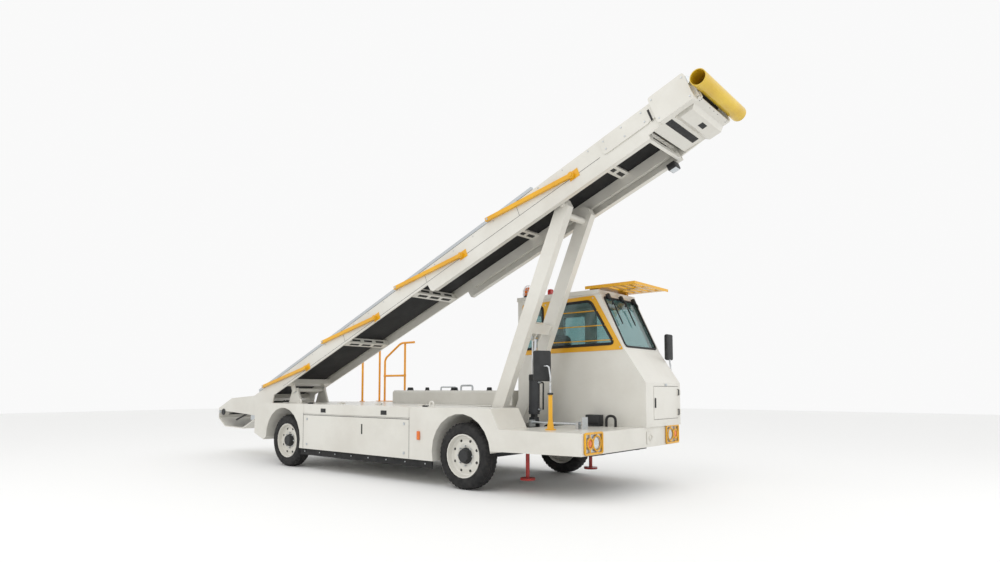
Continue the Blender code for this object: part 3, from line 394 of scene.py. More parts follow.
def makeTyre(name, x, side, body):
    # the profile turned about the axle; lugs and grooves lower the tread: r = profile - deep * groove(a, z)
    length = np.concatenate([[0], np.cumsum(np.linalg.norm(np.diff(tyreProfile, axis=0), axis=1))])
    t = np.linspace(0, length[-1], tyreSize["around"])
    radius = np.interp(t, length, tyreProfile[:, 0])
    width = np.interp(t, length, tyreProfile[:, 1])
    a = np.arange(tyreSize["turns"]) / tyreSize["turns"] * 2 * np.pi
    rr, aa = np.meshgrid(radius, a, indexing="ij")
    ww = np.meshgrid(width, a, indexing="ij")[0]
    crown = np.clip((rr - 0.352) / 0.014, 0, 1)
    shoulder = np.clip((np.abs(ww) - 0.045) / 0.012, 0, 1)
    lug = (np.sin(aa * tyreSize["lugs"] + np.sign(ww) * 0.8) > 0.35) * shoulder
    rib = np.exp(-((np.abs(ww) - 0.032) / 0.006) ** 2) + np.exp(-(ww / 0.005) ** 2)
    ring = np.exp(-((rr - 0.335) / 0.003) ** 2) * (1 - crown) * 0.25
    rr = rr - tyreSize["grooveDeep"] * np.clip(crown * (lug + rib), 0, 1) * 0.9
    ww = ww * (1 - ring * 0.06)
    points = np.stack([x + rr * np.cos(aa), side * (tyreSize["offset"] + ww), tyreSize["axleZ"] + rr * np.sin(aa)],
                      axis=-1).reshape(-1, 3)
    faces = gridFaces(tyreSize["around"], tyreSize["turns"], True, True)
    if side > 0:
        faces = [face[::-1] for face in faces]
    piece = addPiece(name + "_tread", (points, faces), made["vulcanisedTyreRubber"], body, 32)
    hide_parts(name)


def makeRimDetail(name, x, side, body):
    y = side * tyreSize["offset"]
    z = tyreSize["axleZ"]
    out = (0, side, 0)
    hub = turned([(0.03, 0.094), (0.070, 0.092), (0.078, 0.080), (0.080, 0.05), (0.092, 0.046), (0.092, 0.03)],
                 (x, y, z), out, 28)
    addPiece(name + "_hub_cap", hub, abs_, body)
    nuts, holes = [], []
    for i in range(8):
        a = 2 * math.pi * i / 8
        nuts.append(turned([(0.007, 0.060), (0.010, 0.056), (0.010, 0.028)],
                           (x + 0.112 * math.cos(a), y, z + 0.112 * math.sin(a)), out, 6))
        b = a + math.pi / 8
        holes.append(disc((x + 0.178 * math.cos(b), y + side * 0.030, z + 0.178 * math.sin(b)), 0.016, 0.0135,
                          out, 16))
    addPiece(name + "_wheel_nuts", together(*nuts), zinc, body, 30)
    addPiece(name + "_hand_holes", together(*holes), gap, body)


for end, x in (("front", 3.53), ("rear", 0.0)):
    for hand, side in (("right", -1), ("left", 1)):
        makeTyre(f"{end}_{hand}_tyre", x, side, f"{end}_{hand}_wheel")
        makeRimDetail(f"{end}_{hand}", x, side, f"{end}_{hand}_wheel")
print("wheels done")


# ---- body sides and decks

sidePanel = {"lidFront": 2.69, "lidRear": 0.48, "lipLow": 0.785, "bottom": 0.295, "face": 1.125}


def makeSides():
    for hand, side in (("right", -1), ("left", 1)):
        y = side * (sidePanel["face"] + 0.0008)
        middle = (sidePanel["lidFront"] + sidePanel["lidRear"]) / 2
        wide = sidePanel["lidFront"] - sidePanel["lidRear"]
        seams = [roundBox((middle, y, 0.773), (wide, 0.0022, 0.007), 0.001),
                 roundBox((sidePanel["lidFront"], y, 0.55), (0.005, 0.0022, 0.5), 0.001),
                 roundBox((sidePanel["lidRear"], y, 0.55), (0.005, 0.0022, 0.5), 0.001),
                 roundBox((1.79, y, 0.62), (0.026, 0.004, 0.13), 0.002)]
        addPiece(hand + "_panel_seams", together(*seams), gap, "chassis")
        bolts = []
        for x in (0.57, 2.60):
            for z in (0.36, 0.715):
                bolts.append(roundBox((x, side * (sidePanel["face"] + 0.003), z), (0.032, 0.006, 0.032), 0.003))
                bolts.append(disc((x, side * (sidePanel["face"] + 0.005), z), 0.009, 0.006, (0, side, 0), 12))
        addPiece(hand + "_panel_bolts", together(*bolts), zinc, "chassis")
        marker = roundBox((2.86, side * (sidePanel["face"] + 0.009), 0.585), (0.052, 0.018, 0.105), 0.010, 3)
        addPiece(hand + "_side_marker", marker, amber, "chassis")
        trims = [tube(softPath([(x0, side * 1.118, 0.301), (x1, side * 1.118, 0.301)], 0.01), 0.006, 8)
                 for x0, x1 in ((0.41, 3.06),)]
        addPiece(hand + "_lower_hem", together(*trims), white, "chassis")
        eyes, caps = [], []
        for x in (0.30, 3.02):
            a = np.linspace(-0.25 * np.pi, 1.25 * np.pi, 14)
            loop = np.stack([x + 0.034 * np.cos(a), np.full(14, side * 1.07), 0.958 + 0.034 * np.sin(a)], axis=1)
            eyes.append(tube(loop, 0.009, 8))
            eyes.append(roundBox((x, side * 1.07, 0.930), (0.10, 0.035, 0.010), 0.003))
            caps.append(disc((x + (0.17 if x < 1 else -0.17), side * 1.0, 0.925), 0.042, 0.016))
        addPiece(hand + "_lifting_eyes", together(*eyes), white, "chassis")
        addPiece(hand + "_deck_caps", together(*caps), abs_, "chassis")
    latches = [roundBox((x, -1.128, 0.842), (0.11, 0.006, 0.055), 0.003) for x in (0.95, 2.22)]
    latches += [roundBox((x, -1.131, 0.842), (0.062, 0.008, 0.026), 0.004) for x in (0.95, 2.22)]
    addPiece("locker_latches", together(*latches), abs_, "locker_lid")
    skirtClips = [disc((x, side * 1.102, 0.255), 0.009, 0.006, (0, side, 0), 10)
                  for side in (-1, 1) for x in np.linspace(0.5, 2.95, 8)]
    addPiece("skirt_clamps", together(*skirtClips), zinc, "chassis")
    leaves = []
    for x in (0.75, 1.585, 2.42):
        leaves.append(roundBox((x, -0.638, 0.928), (0.10, 0.022, 0.006), 0.002))
    addPiece("lid_hinge_leaves", together(*leaves), white, "chassis")


def makeDecks():
    cover = {"x": (0.90, 3.25), "y": (0.19, 1.06), "top": 1.12}
    caps = []
    for x, y, r in ((1.15, 0.33, 0.045), (1.55, 0.30, 0.03), (2.05, 0.36, 0.05), (2.75, 0.32, 0.035)):
        caps.append(turned([(r * 0.8, 0.045), (r, 0.035), (r, 0.012), (r * 1.15, 0.010), (r * 1.15, 0.0)],
                           (x, y, cover["top"]), (0, 0, 1), 24))
    addPiece("engine_cover_caps", together(*caps), abs_, "chassis")
    pipes = [tube(softPath([(2.2, 0.34, 1.12), (2.2, 0.34, 1.19), (2.42, 0.34, 1.19), (2.42, 0.34, 1.12)], 0.03),
                  0.014, 10),
             tube(softPath([(1.72, 0.42, 1.12), (1.72, 0.42, 1.17), (1.72, 0.75, 1.17), (1.72, 0.75, 1.12)], 0.03),
                  0.012, 10)]
    addPiece("engine_cover_pipes", together(*pipes), zinc, "chassis")
    bar = tube([(4.04, -0.47, 0.757), (4.74, -0.47, 0.757)], 0.015, 16)
    ends = [roundBox((x, -0.47, 0.745), (0.035, 0.09, 0.08), 0.004) for x in (4.06, 4.70)]
    ends.append(roundBox((4.77, -0.47, 0.770), (0.012, 0.12, 0.13), 0.003))
    addPiece("prop_bar", together(bar, *ends), zinc, "chassis")
    box = [roundBox((4.55, 0.10, 0.785), (0.19, 0.10, 0.11), 0.008, 3),
           roundBox((4.55, 0.10, 0.7175), (0.16, 0.13, 0.024), 0.003)]
    addPiece("deck_junction_box", together(*box), abs_, "chassis")
    hose = softPath([(4.71, 0.10, 0.704), (4.71, 0.10, 0.83), (4.83, 0.10, 0.83), (4.83, 0.10, 0.704)], 0.06, 8)
    addPiece("deck_hose", tube(hose, 0.015, 12), gasket, "chassis")
    brackets = []
    for side in (-1, 1):
        y = boomFrame["centreY"] + side * 0.255
        brackets.append(disc((boomFrame["pivotX"], y + side * 0.014, boomFrame["pivotZ"]), 0.048, 0.006,
                             (0, side, 0), 28))
    addPiece("boom_pivot_caps", together(*brackets), zinc, "chassis")
    eye = slab(roundOutline([(0.25, 0.51), (0.36, 0.53), (0.40, 0.59), (0.36, 0.65), (0.25, 0.66)], 0.02),
               5.1372, 5.147, "front")
    a = np.linspace(0, 2 * np.pi, 24, endpoint=False)
    ringPath = np.stack([np.full(24, 5.150), 0.335 + 0.034 * np.cos(a), 0.588 + 0.034 * np.sin(a)], axis=1)
    addPiece("front_tow_eye", together(eye, tube(ringPath, 0.009, 8, True)), white, "chassis")


lampGuard = {"low": 0.497, "high": 0.70, "near": 0.745, "far": 1.075, "x": 5.137}


def makeLamps():
    for hand, side in (("right", -1), ("left", 1)):
        y0, y1 = sorted((side * lampGuard["near"], side * lampGuard["far"]))
        x = lampGuard["x"]
        middleZ = (lampGuard["low"] + lampGuard["high"]) / 2
        frameLoop = roundOutline([(y0, lampGuard["low"]), (y1, lampGuard["low"]), (y1, lampGuard["high"]),
                                  (y0, lampGuard["high"])], 0.02)
        path = np.concatenate([np.full((len(frameLoop), 1), x + 0.012), frameLoop], axis=1)
        lampY = side * 0.855
        turnY = side * 0.985
        shapes = [tube(path, 0.012, 8, True)]
        for cy, r in ((lampY, 0.074), (turnY, 0.052)):
            a = np.linspace(0, 2 * np.pi, 28, endpoint=False)
            loop = np.stack([np.full(28, x + 0.016), cy + r * np.cos(a), middleZ + r * np.sin(a)], axis=1)
            shapes.append(tube(loop, 0.008, 8, True))
            shapes.append(tube([(x + 0.014, cy, middleZ + r), (x + 0.014, cy, lampGuard["high"])], 0.007, 6))
            shapes.append(tube([(x + 0.014, cy, middleZ - r), (x + 0.014, cy, lampGuard["low"])], 0.007, 6))
        addPiece(hand + "_lamp_guard", together(*shapes), yellow, "chassis")
        well = slab(roundOutline([(y0 + 0.01, lampGuard["low"] + 0.01), (y1 - 0.01, lampGuard["low"] + 0.01),
                                  (y1 - 0.01, lampGuard["high"] - 0.01), (y0 + 0.01, lampGuard["high"] - 0.01)],
                                 0.02), x + 0.0003, x + 0.003, "front")
        addPiece(hand + "_lamp_panel", well, zinc, "chassis")
        bowl = turned([(0.030, 0.016), (0.055, 0.013), (0.066, 0.006), (0.068, 0.0)], (x, lampY, middleZ), (1, 0, 0), 32)
        addPiece(hand + "_headlamp", bowl, reflector, "chassis")
        turn = turned([(0.02, 0.018), (0.038, 0.014), (0.045, 0.005), (0.046, 0.0)], (x, turnY, middleZ), (1, 0, 0), 28)
        addPiece(hand + "_turn_lamp", turn, amber, "chassis")
        tail = roundBox((-0.835, side * 0.95, 0.66), (0.02, 0.14, 0.07), 0.008, 3)
        addPiece(hand + "_tail_lamp", tail, made["redPolycarbonate"], "chassis")


makeSides()
makeDecks()
makeLamps()
print("body done")


# ---- handrail

railSize = {"y": 1.0, "radius": 0.018, "top": 1.93}


def makeHandrail():
    y, top = railSize["y"], railSize["top"]
    low = 0.926
    r = railSize["radius"]
    runs = [softPath([(-0.366, y, low), (-0.366, y, top), (-0.366, 0.62, top), (-0.366, 0.62, low)], 0.09, 8),
            softPath([(-0.225, y, low), (-0.225, y, 1.668), (0.19, y, top), (0.50, y, top)], 0.07, 8),
            softPath([(0.29, y, low), (0.29, y, top - 0.005)], 0.05),
            softPath([(-0.225, y, 1.37), (0.29, y, 1.37)], 0.05)]
    feet = [disc((x, yy, 0.9255), 0.045, 0.010) for x, yy in ((-0.366, y), (-0.366, 0.62), (-0.225, y), (0.29, y))]
    strip = roundBox((-0.04, y, 0.931), (0.74, 0.09, 0.010), 0.003)
    collars = [tube([(x, y, 1.352), (x, y, 1.388)], r + 0.004, 16) for x in (-0.225, 0.29)]
    cap = tube([(0.497, y, top), (0.515, y, top)], r + 0.002, 16)
    shape = together(*[tube(run, r, 16) for run in runs], *feet, strip, *collars, cap)
    piece = addPiece("handrail_tubes", shape, made["orangePowderCoat"], "chassis", 40)
    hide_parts("handrail")


makeHandrail()
print("handrail done")


# ---- cab

cabGlass = {"rearPane": [(3.455, 1.655), (3.745, 1.66), (3.745, 2.19), (3.475, 2.185)],
            "frontPane": [(3.85, 1.662), (4.765, 1.675), (4.45, 2.205), (3.85, 2.192)]}


def ringOn(outline, y, radius):
    path = np.stack([outline[:, 0], np.full(len(outline), y), outline[:, 1]], axis=1)
    return tube(path, radius, 8, True)


def makeCabTrim():
    seals = [ringOn(roundOutline(cabGlass["rearPane"], 0.05, 6), 0.2015, 0.017),
             ringOn(roundOutline(cabGlass["frontPane"], 0.06, 6), 0.2015, 0.017),
             ringOn(roundOutline([(3.98, 1.45), (4.84, 1.45), (4.79, 1.62), (4.52, 2.20), (3.98, 2.20)], 0.05, 5),
                    1.127, 0.010)]
    rear = roundOutline([(0.35, 1.35), (0.98, 1.35), (0.98, 2.15), (0.35, 2.15)], 0.05, 5)
    seals.append(tube(np.stack([np.full(len(rear), 3.337), rear[:, 0], rear[:, 1]], axis=1), 0.010, 8, True))
    addPiece("window_seals", together(*seals), gasket, "chassis")
    screen = roundOutline([(0.045, 0.27), (0.72, 0.27), (0.72, 1.065), (0.045, 1.065)], 0.05, 6)
    path = np.concatenate([screen, np.full((len(screen), 1), 0.002)], axis=1)
    addPiece("windscreen_seal", onScreen(tube(path, 0.013, 8, True)), gasket, "chassis")
    doorSeal = roundOutline([(3.47, 1.35), (3.82, 1.35), (3.82, 2.15), (3.47, 2.15)], 0.05, 5)
    addPiece("door_window_seal", ringOn(doorSeal, 1.127, 0.010), gasket, "cab_door")
    bars = []
    for z in (1.72, 1.90, 2.08):
        reach = 4.765 - (z - 1.675) * (4.765 - 4.45) / (2.205 - 1.675)
        bars.append(tube([(3.83, 0.196, z), (reach + 0.02, 0.196, z)], 0.006, 8))
    addPiece("window_bars", together(*bars), yellow, "chassis")
    corners = [(3.415, 1.61), (4.845, 1.63), (4.485, 2.24), (3.45, 2.21), (3.787, 1.62), (3.787, 2.21)]
    rivets = [disc((x, 0.202, z), 0.010, 0.005, (0, -1, 0), 12) for x, z in corners]
    addPiece("window_frame_bolts", together(*rivets), zinc, "chassis")
    lamps = []
    for y in (0.34, 0.66, 0.98):
        lamps.append(onScreen(roundBox((0.045, y, 0.030), (0.07, 0.045, 0.045), 0.010, 3)))
        lamps.append(onScreen(tube(softPath([(0.05, y, 0.03), (0.11, y + 0.03, 0.045), (0.15, y + 0.045, 0.02)],
                                            0.02), 0.010, 8)))
    for y in (0.40, 0.72):
        lamps.append(onScreen(tube([(0.06, y, 0.028), (0.24, y + 0.03, 0.022)], 0.006, 8)))
        lamps.append(onScreen(roundBox((0.29, y + 0.03, 0.016), (0.24, 0.014, 0.014), 0.004)))
    addPiece("windscreen_wipers", together(*lamps), abs_, "chassis")
    handle = [roundBox((3.45, 1.137, 1.22), (0.10, 0.022, 0.035), 0.008, 3),
              tube(softPath([(3.43, 1.128, 1.08), (3.43, 1.165, 1.08), (3.43, 1.165, 1.30), (3.43, 1.128, 1.30)],
                            0.02), 0.009, 10)]
    addPiece("cab_door_handle", together(*handle), abs_, "cab_door")
    grab = tube(softPath([(3.30, 0.32, 1.15), (3.27, 0.32, 1.15), (3.27, 0.32, 2.0), (3.30, 0.32, 2.0)], 0.015),
                0.010, 10)
    feet = [roundBox((3.322, 0.32, z), (0.040, 0.04, 0.05), 0.004) for z in (1.15, 2.0)]
    addPiece("rear_grab_handle", together(grab, *feet), abs_, "chassis")
    nose = [roundBox((5.169, 0.432, 0.98), (0.012, 0.022, 0.115), 0.005, 3)]
    addPiece("nose_door_handle", together(*nose), abs_, "nose_door")
    hinges = [roundBox((5.170, 1.055, z), (0.014, 0.030, 0.075), 0.005, 3) for z in (0.86, 1.10)]
    addPiece("nose_hinges", together(*hinges), abs_, "nose_door")
    addPiece("cab_corner_fitting", roundBox((5.148, 0.222, 0.80), (0.022, 0.024, 0.065), 0.005, 3), abs_, "chassis")
    addPiece("nose_latch", roundBox((5.164, 0.72, 1.190), (0.012, 0.05, 0.028), 0.004), zinc, "chassis")
    seam = [roundBox((4.2, 0.2093, 1.20), (1.70, 0.0014, 0.004), 0.0006),
            roundBox((4.2, 0.2093, 1.50), (1.40, 0.0014, 0.004), 0.0006)]
    addPiece("cab_side_seams", together(*seam[:1]), white, "chassis")
    hem = tube([(3.33, 0.203, 2.292), (4.56, 0.203, 2.292)], 0.008, 8)
    addPiece("roof_gutter", hem, white, "chassis")


def makeRoof():
    x, y, top = 3.44, 0.30, 2.34
    base = turned([(0.05, 0.03), (0.062, 0.022), (0.062, 0.0)], (x, y, top), (0, 0, 1), 28)
    addPiece("beacon_base", base, abs_, "chassis")
    dome = turned([(0.01, 0.145), (0.03, 0.140), (0.045, 0.12), (0.05, 0.09), (0.052, 0.03)], (x, y, top), (0, 0, 1), 28)
    addPiece("beacon_lens", dome, amber, "chassis")
    cage = []
    for turn in (0.0, np.pi / 3, 2 * np.pi / 3):
        a = np.linspace(0, np.pi, 15)
        across = 0.072 * np.cos(a)
        cage.append(tube(np.stack([x + across * np.cos(turn), y + across * np.sin(turn),
                                   top + 0.02 + 0.150 * np.sin(a) ** 0.7], axis=1), 0.003, 6))
    for h in (0.05, 0.10):
        a = np.linspace(0, 2 * np.pi, 24, endpoint=False)
        cage.append(tube(np.stack([x + 0.071 * np.cos(a), y + 0.071 * np.sin(a), np.full(24, top + h)], axis=1),
                         0.003, 6, True))
    addPiece("beacon_cage", together(*cage), zinc, "chassis")
    red = turned([(0.012, 0.105), (0.034, 0.098), (0.040, 0.08), (0.040, 0.0)], (3.73, 0.40, top), (0, 0, 1), 24)
    addPiece("red_roof_lamp", red, made["redPolycarbonate"], "chassis")
    studs = [disc((xx, yy, 2.393), 0.010, 0.006, (0, 0, 1), 12) for xx in (4.42, 4.50) for yy in (0.30, 1.0)]
    addPiece("visor_studs", together(*studs), zinc, "chassis")


def cushion(centre, size, crown, rows=22, cols=30, channels=3):
    # a superellipsoid, crowned, with sewn channels: p = half * sign(t) * |t|^0.45, lowered along the seams
    u = np.linspace(0, 2 * np.pi, cols * 2, endpoint=False)
    v = np.linspace(0.0001, np.pi - 0.0001, rows)
    uu, vv = np.meshgrid(u, v)
    power = 0.42
    cu, su, cv, sv = np.cos(uu), np.sin(uu), np.cos(vv), np.sin(vv)
    bx = np.sign(cu) * np.abs(cu) ** power * np.abs(sv) ** power
    by = np.sign(su) * np.abs(su) ** power * np.abs(sv) ** power
    bz = np.sign(cv) * np.abs(cv) ** power
    half = np.array(size) / 2
    lift = 1 + crown * (1 - bx ** 2) * (1 - by ** 2) * (bz > 0)
    seams = sum(np.exp(-((by - k) / 0.05) ** 2) for k in np.linspace(-0.5, 0.5, channels))
    z = half[2] * bz * lift - 0.012 * seams * (bz > 0.3)
    points = np.stack([centre[0] + half[0] * bx, centre[1] + half[1] * by, centre[2] + z], axis=-1).reshape(-1, 3)
    faces = [face[::-1] for face in gridFaces(rows, cols * 2)]
    faces.append(list(range(cols * 2)))
    faces.append(list(range((rows - 1) * cols * 2, rows * cols * 2))[::-1])
    return points, faces


def leaned(shape, pivotX, pivotZ, degrees):
    a = math.radians(degrees)
    x, y, z = shape[0].T
    dx, dz = x - pivotX, z - pivotZ
    return np.stack([pivotX + dx * math.cos(a) + dz * math.sin(a), y, pivotZ - dx * math.sin(a) + dz * math.cos(a)],
                    axis=1), shape[1]


def makeCabInside():
    cloth = made["wovenSeatCloth"]
    seat = addPiece("seat_cushion", cushion((3.70, 0.83, 1.222), (0.50, 0.45, 0.135), 0.12), cloth, "chassis", 60)
    backShape = leaned(cushion((3.57, 0.83, 1.58), (0.60, 0.43, 0.11), 0.12), 3.57, 1.58, -82)
    back = addPiece("seat_back", backShape, cloth, "chassis", 60)
    base = [roundBox((3.68, 0.83, 1.055), (0.42, 0.38, 0.185), 0.02, 3),
            roundBox((3.68, 0.83, 1.150), (0.46, 0.42, 0.025), 0.008)]
    frameShape = addPiece("seat_base", together(*base), abs_, "chassis")
    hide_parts("driver_seat")
    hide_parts("driver_seat")
    hub = np.array((4.42, 0.83, 1.50))
    tilt = np.array((-0.55, 0.0, 0.835))
    across = np.array((0.0, 1.0, 0.0))
    up = np.cross(tilt, across)
    a = np.linspace(0, 2 * np.pi, 48, endpoint=False)[:, None]
    rim = tube(hub + 0.185 * (np.cos(a) * across + np.sin(a) * up), 0.015, 12, True)
    spokes = [tube([hub, hub + 0.18 * (math.cos(b) * across + math.sin(b) * up)], 0.011, 8)
              for b in (0.35, math.pi - 0.35, 1.5 * math.pi)]
    column = tube([hub + tilt * 0.01, np.array((4.80, 0.83, 0.95))], 0.026, 14)
    boss = disc(hub - tilt * 0.01, 0.045, 0.03, tilt, 24)
    dash = slab(roundOutline([(4.72, 0.7412), (5.05, 0.7412), (5.05, 1.16), (4.86, 1.30), (4.72, 1.26)], 0.03), 0.60,
                1.06, "side", 0.012)
    piece = addPiece("steering_column", together(rim, *spokes, column, boss, dash), abs_, "chassis", 40)
    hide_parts("steering_wheel")


def turnedAbout(shape, centreX, centreY, degrees):
    a = math.radians(degrees)
    x, y, z = shape[0].T
    dx, dy = x - centreX, y - centreY
    return np.stack([centreX + dx * math.cos(a) - dy * math.sin(a), centreY + dx * math.sin(a) + dy * math.cos(a), z],
                    axis=1), shape[1]


def makeMirrors():
    post = turned([(0.023, 0.375), (0.023, 0.12), (0.034, 0.05), (0.038, 0.014), (0.058, 0.012), (0.058, 0.0)],
                  (4.577, -0.84, 0.7055), (0, 0, 1), 24)
    postPiece = addPiece("mirror_post", post, yellow, "chassis", 40)
    stem = tube(softPath([(4.577, -0.84, 1.06), (4.577, -0.84, 1.20), (4.60, -0.865, 1.24), (4.60, -0.90, 1.385),
                          (4.53, -0.90, 1.385)], 0.03, 6), 0.010, 12)
    stemPiece = addPiece("mirror_stem", stem, chrome, "chassis")
    addPiece("mirror_post_collar", disc((4.577, -0.84, 1.078), 0.031, 0.022), abs_, "chassis")
    head = turnedAbout(roundBox((4.515, -0.90, 1.387), (0.048, 0.20, 0.33), 0.023, 5), 4.515, -0.90, -32)
    headPiece = addPiece("mirror_head", head, abs_, "chassis")
    pane = turnedAbout(roundBox((4.4905, -0.90, 1.387), (0.004, 0.17, 0.30), 0.0018), 4.515, -0.90, -32)
    addPiece("right_mirror_pane", pane, reflector, "chassis")
    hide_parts("right_mirror")
    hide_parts("right_mirror")
    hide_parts("right_mirror")
    arm = together(roundBox((5.03, 1.134, 1.30), (0.06, 0.018, 0.06), 0.005),
                   tube(softPath([(5.03, 1.138, 1.30), (5.01, 1.205, 1.40), (4.985, 1.21, 1.56)], 0.04, 6), 0.011, 12))
    armPiece = addPiece("left_mirror_arm", arm, chrome, "chassis")
    leftHead = addPiece("left_mirror_head", roundBox((4.982, 1.215, 1.67), (0.048, 0.17, 0.33), 0.022, 4), abs_,
                        "chassis")
    addPiece("left_mirror_pane", roundBox((4.9575, 1.215, 1.67), (0.004, 0.145, 0.30), 0.0018), reflector, "chassis")
    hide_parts("left_mirror")
    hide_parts("left_mirror")


makeCabTrim()
makeRoof()
makeCabInside()
makeMirrors()
print("cab done")


# ---- boom

boomDetail = {"face": -0.4005, "seamN": 0.112, "bolts": 18, "slotsAt": (1.58, 3.13), "deepSlotsAt": (4.76, 6.12)}


def makeBoom():
    face = boomDetail["face"]
    seams = []
    for y in (face - 0.0006, 0.4011):
        seams.append(onBoom(roundBox((3.05, y, boomDetail["seamN"]), (6.3, 0.0016, 0.004), 0.0007)))
        for s in (1.60, 3.42, 5.05):
            seams.append(onBoom(roundBox((s, y, 0.20), (0.004, 0.0016, 0.17), 0.0007)))
    addPiece("boom_side_seams", together(*seams), gap, "boom")
    slots = []
    for s in boomDetail["slotsAt"]:
        for y in (-0.22, 0.0, 0.22):
            slots.append(onBoom(roundBox((s, y, 0.084), (0.05, 0.16, 0.004), 0.002, 2)))
            slots.append(onBoom(roundBox((s + 0.0605, y, 0.122), (0.003, 0.15, 0.028), 0.0015, 2)))
    for s in boomDetail["deepSlotsAt"]:
        for y in (-0.19, 0.0, 0.19):
            slots.append(onBoom(roundBox((s, y, 0.1345), (0.05, 0.13, 0.004), 0.002, 2)))
    addPiece("cross_member_slots", together(*slots), gap, "boom")
    bolts = []
    for s in np.linspace(0.1, 6.1, boomDetail["bolts"]):
        bolts.append(onBoom(disc((s, face, 0.262), 0.008, 0.005, (0, -1, 0), 10)))
        bolts.append(onBoom(disc((s, 0.400, 0.262), 0.008, 0.005, (0, 1, 0), 10)))
    for s, n in ((6.30, 0.15), (6.30, 0.24), (6.53, 0.14), (6.53, 0.25), (6.77, 0.14), (6.77, 0.25)):
        bolts.append(onBoom(disc((s, -0.412, n), 0.009, 0.006, (0, -1, 0), 12)))
    for s, n in ((6.93, 0.04), (7.27, 0.04), (6.93, 0.26), (7.27, 0.26)):
        bolts.append(onBoom(disc((s, -0.475, n), 0.009, 0.006, (0, -1, 0), 12)))
    addPiece("boom_bolts", together(*bolts), zinc, "boom")
    low = 0.0205
    vents = [onBoom(roundBox((s, -0.4125, 0.165), (0.022, 0.004, 0.13), 0.002)) for s in (6.845, 6.895)]
    vents.append(onBoom(roundBox((6.965, -0.02, low - 0.001), (0.075, 0.66, 0.004), 0.0015)))
    vents.append(onBoom(roundBox((6.795, -0.02, 0.0455), (0.030, 0.70, 0.004), 0.0015)))
    vents += [onBoom(roundBox((s, y, low - 0.0005), (0.008, 0.012, 0.003), 0.001))
              for s, y in ((7.30, -0.33), (7.32, -0.33), (7.31, -0.10), (7.31, 0.0), (7.31, 0.10), (7.30, 0.33),
                           (7.32, 0.33))]
    addPiece("head_vents", together(*vents), gasket, "boom")
    bulge = onBoom(slab([(7.035, low + 0.001), (7.085, -0.028), (7.215, -0.028), (7.255, low + 0.001)], -0.36, 0.38,
                        "side", 0.004))
    addPiece("head_bulge", bulge, white, "boom")
    addPiece("head_bulge_pocket", onBoom(roundBox((7.15, 0.03, -0.0285), (0.055, 0.12, 0.004), 0.0015)), gasket,
             "boom")
    roller = onBoom(together(disc((7.285, -0.401, 0.2155), 0.048, 0.055, (0, -1, 0), 28),
                             disc((7.27, 0.401, 0.2155), 0.034, 0.012, (0, 1, 0), 24)))
    addPiece("head_roller_bearings", roller, zinc, "boom")
    lampHouse = together(onBoom(roundBox((6.64, 0.33, -0.085), (0.10, 0.13, 0.075), 0.012, 3)),
                         onBoom(tube([(6.64, 0.33, -0.05), (6.64, 0.36, -0.02)], 0.012, 8)))
    addPiece("work_lamp", lampHouse, abs_, "boom")
    lens = onBoom(roundBox((6.64, 0.33, -0.124), (0.08, 0.11, 0.006), 0.003))
    addPiece("work_lamp_lens", lens, reflector, "boom")
    straps = [onBoom(tube([(7.334, y, 0.02), (7.334, y, 0.21)], 0.012, 8)) for y in (-0.36, 0.36)]
    addPiece("bumper_tube_straps", together(*straps), white, "boom")
    pads = [onBoom(roundBox((7.36, y, 0.205), (0.07, 0.05, 0.02), 0.004)) for y in (-0.36, 0.36)]
    addPiece("bumper_tube_pads", together(*pads), white, "boom")


def makeTail():
    face = -0.4
    tailFace = boomFrame["centreY"] + face
    cap = together(disc((-2.55, tailFace, 0.735), 0.055, 0.014, (0, -1, 0), 32),
                   disc((-2.55, boomFrame["centreY"] + 0.4, 0.735), 0.055, 0.014, (0, 1, 0), 32))
    addPiece("tail_roller_caps", cap, abs_, "boom")
    screw = together(tube([(-2.70, tailFace - 0.012, 0.735), (-2.60, tailFace - 0.012, 0.735)], 0.007, 8),
                     roundBox((-2.67, tailFace - 0.008, 0.735), (0.03, 0.018, 0.05), 0.003))
    addPiece("belt_tension_screw", screw, zinc, "boom")
    motor = together(
        turned([(0.055, 0.20), (0.068, 0.19), (0.068, 0.02), (0.06, 0.0)], (-1.66, -0.62, 0.655), (0, 1, 0), 32),
        turned([(0.035, 0.05), (0.05, 0.04), (0.05, 0.0)], (-1.66, -0.42, 0.655), (0, 1, 0), 24))
    addPiece("belt_drive_motor", motor, abs_, "boom")
    flange = together(disc((-1.66, -0.63, 0.655), 0.078, 0.016, (0, 1, 0), 32),
                      roundBox((-1.66, -0.665, 0.70), (0.16, 0.012, 0.17), 0.004))
    addPiece("drive_motor_flange", flange, zinc, "boom")
    hoses = [tube(softPath([(-1.66, -0.52 + 0.05 * i, 0.70), (-1.66, -0.52 + 0.05 * i, 0.79),
                            (-1.30, -0.54 + 0.05 * i, 0.82 + 0.02 * i), (-0.93, -0.54 + 0.05 * i, 0.95)], 0.07, 6),
                  0.012, 10) for i in range(3)]
    addPiece("drive_hoses", together(*hoses), gasket, "boom")
    strut = tube([(-2.30, -0.62, 0.60), (-1.72, -0.62, 0.78)], 0.014, 12)
    rodPart = tube([(-1.72, -0.62, 0.78), (-1.50, -0.62, 0.85)], 0.008, 10)
    addPiece("tail_strut", strut, abs_, "boom")
    addPiece("tail_strut_rod", rodPart, chrome, "boom")
    windowEdge = roundOutline([(-1.375, 0.765), (-1.16, 0.77), (-1.16, 0.86), (-1.20, 0.89), (-1.30, 0.89)], 0.015, 3)
    trims = []
    for y in (tailFace - 0.001, boomFrame["centreY"] + 0.401):
        trims.append(ringOn(windowEdge, y, 0.004))
    addPiece("tail_window_edge", together(*trims), white, "boom")


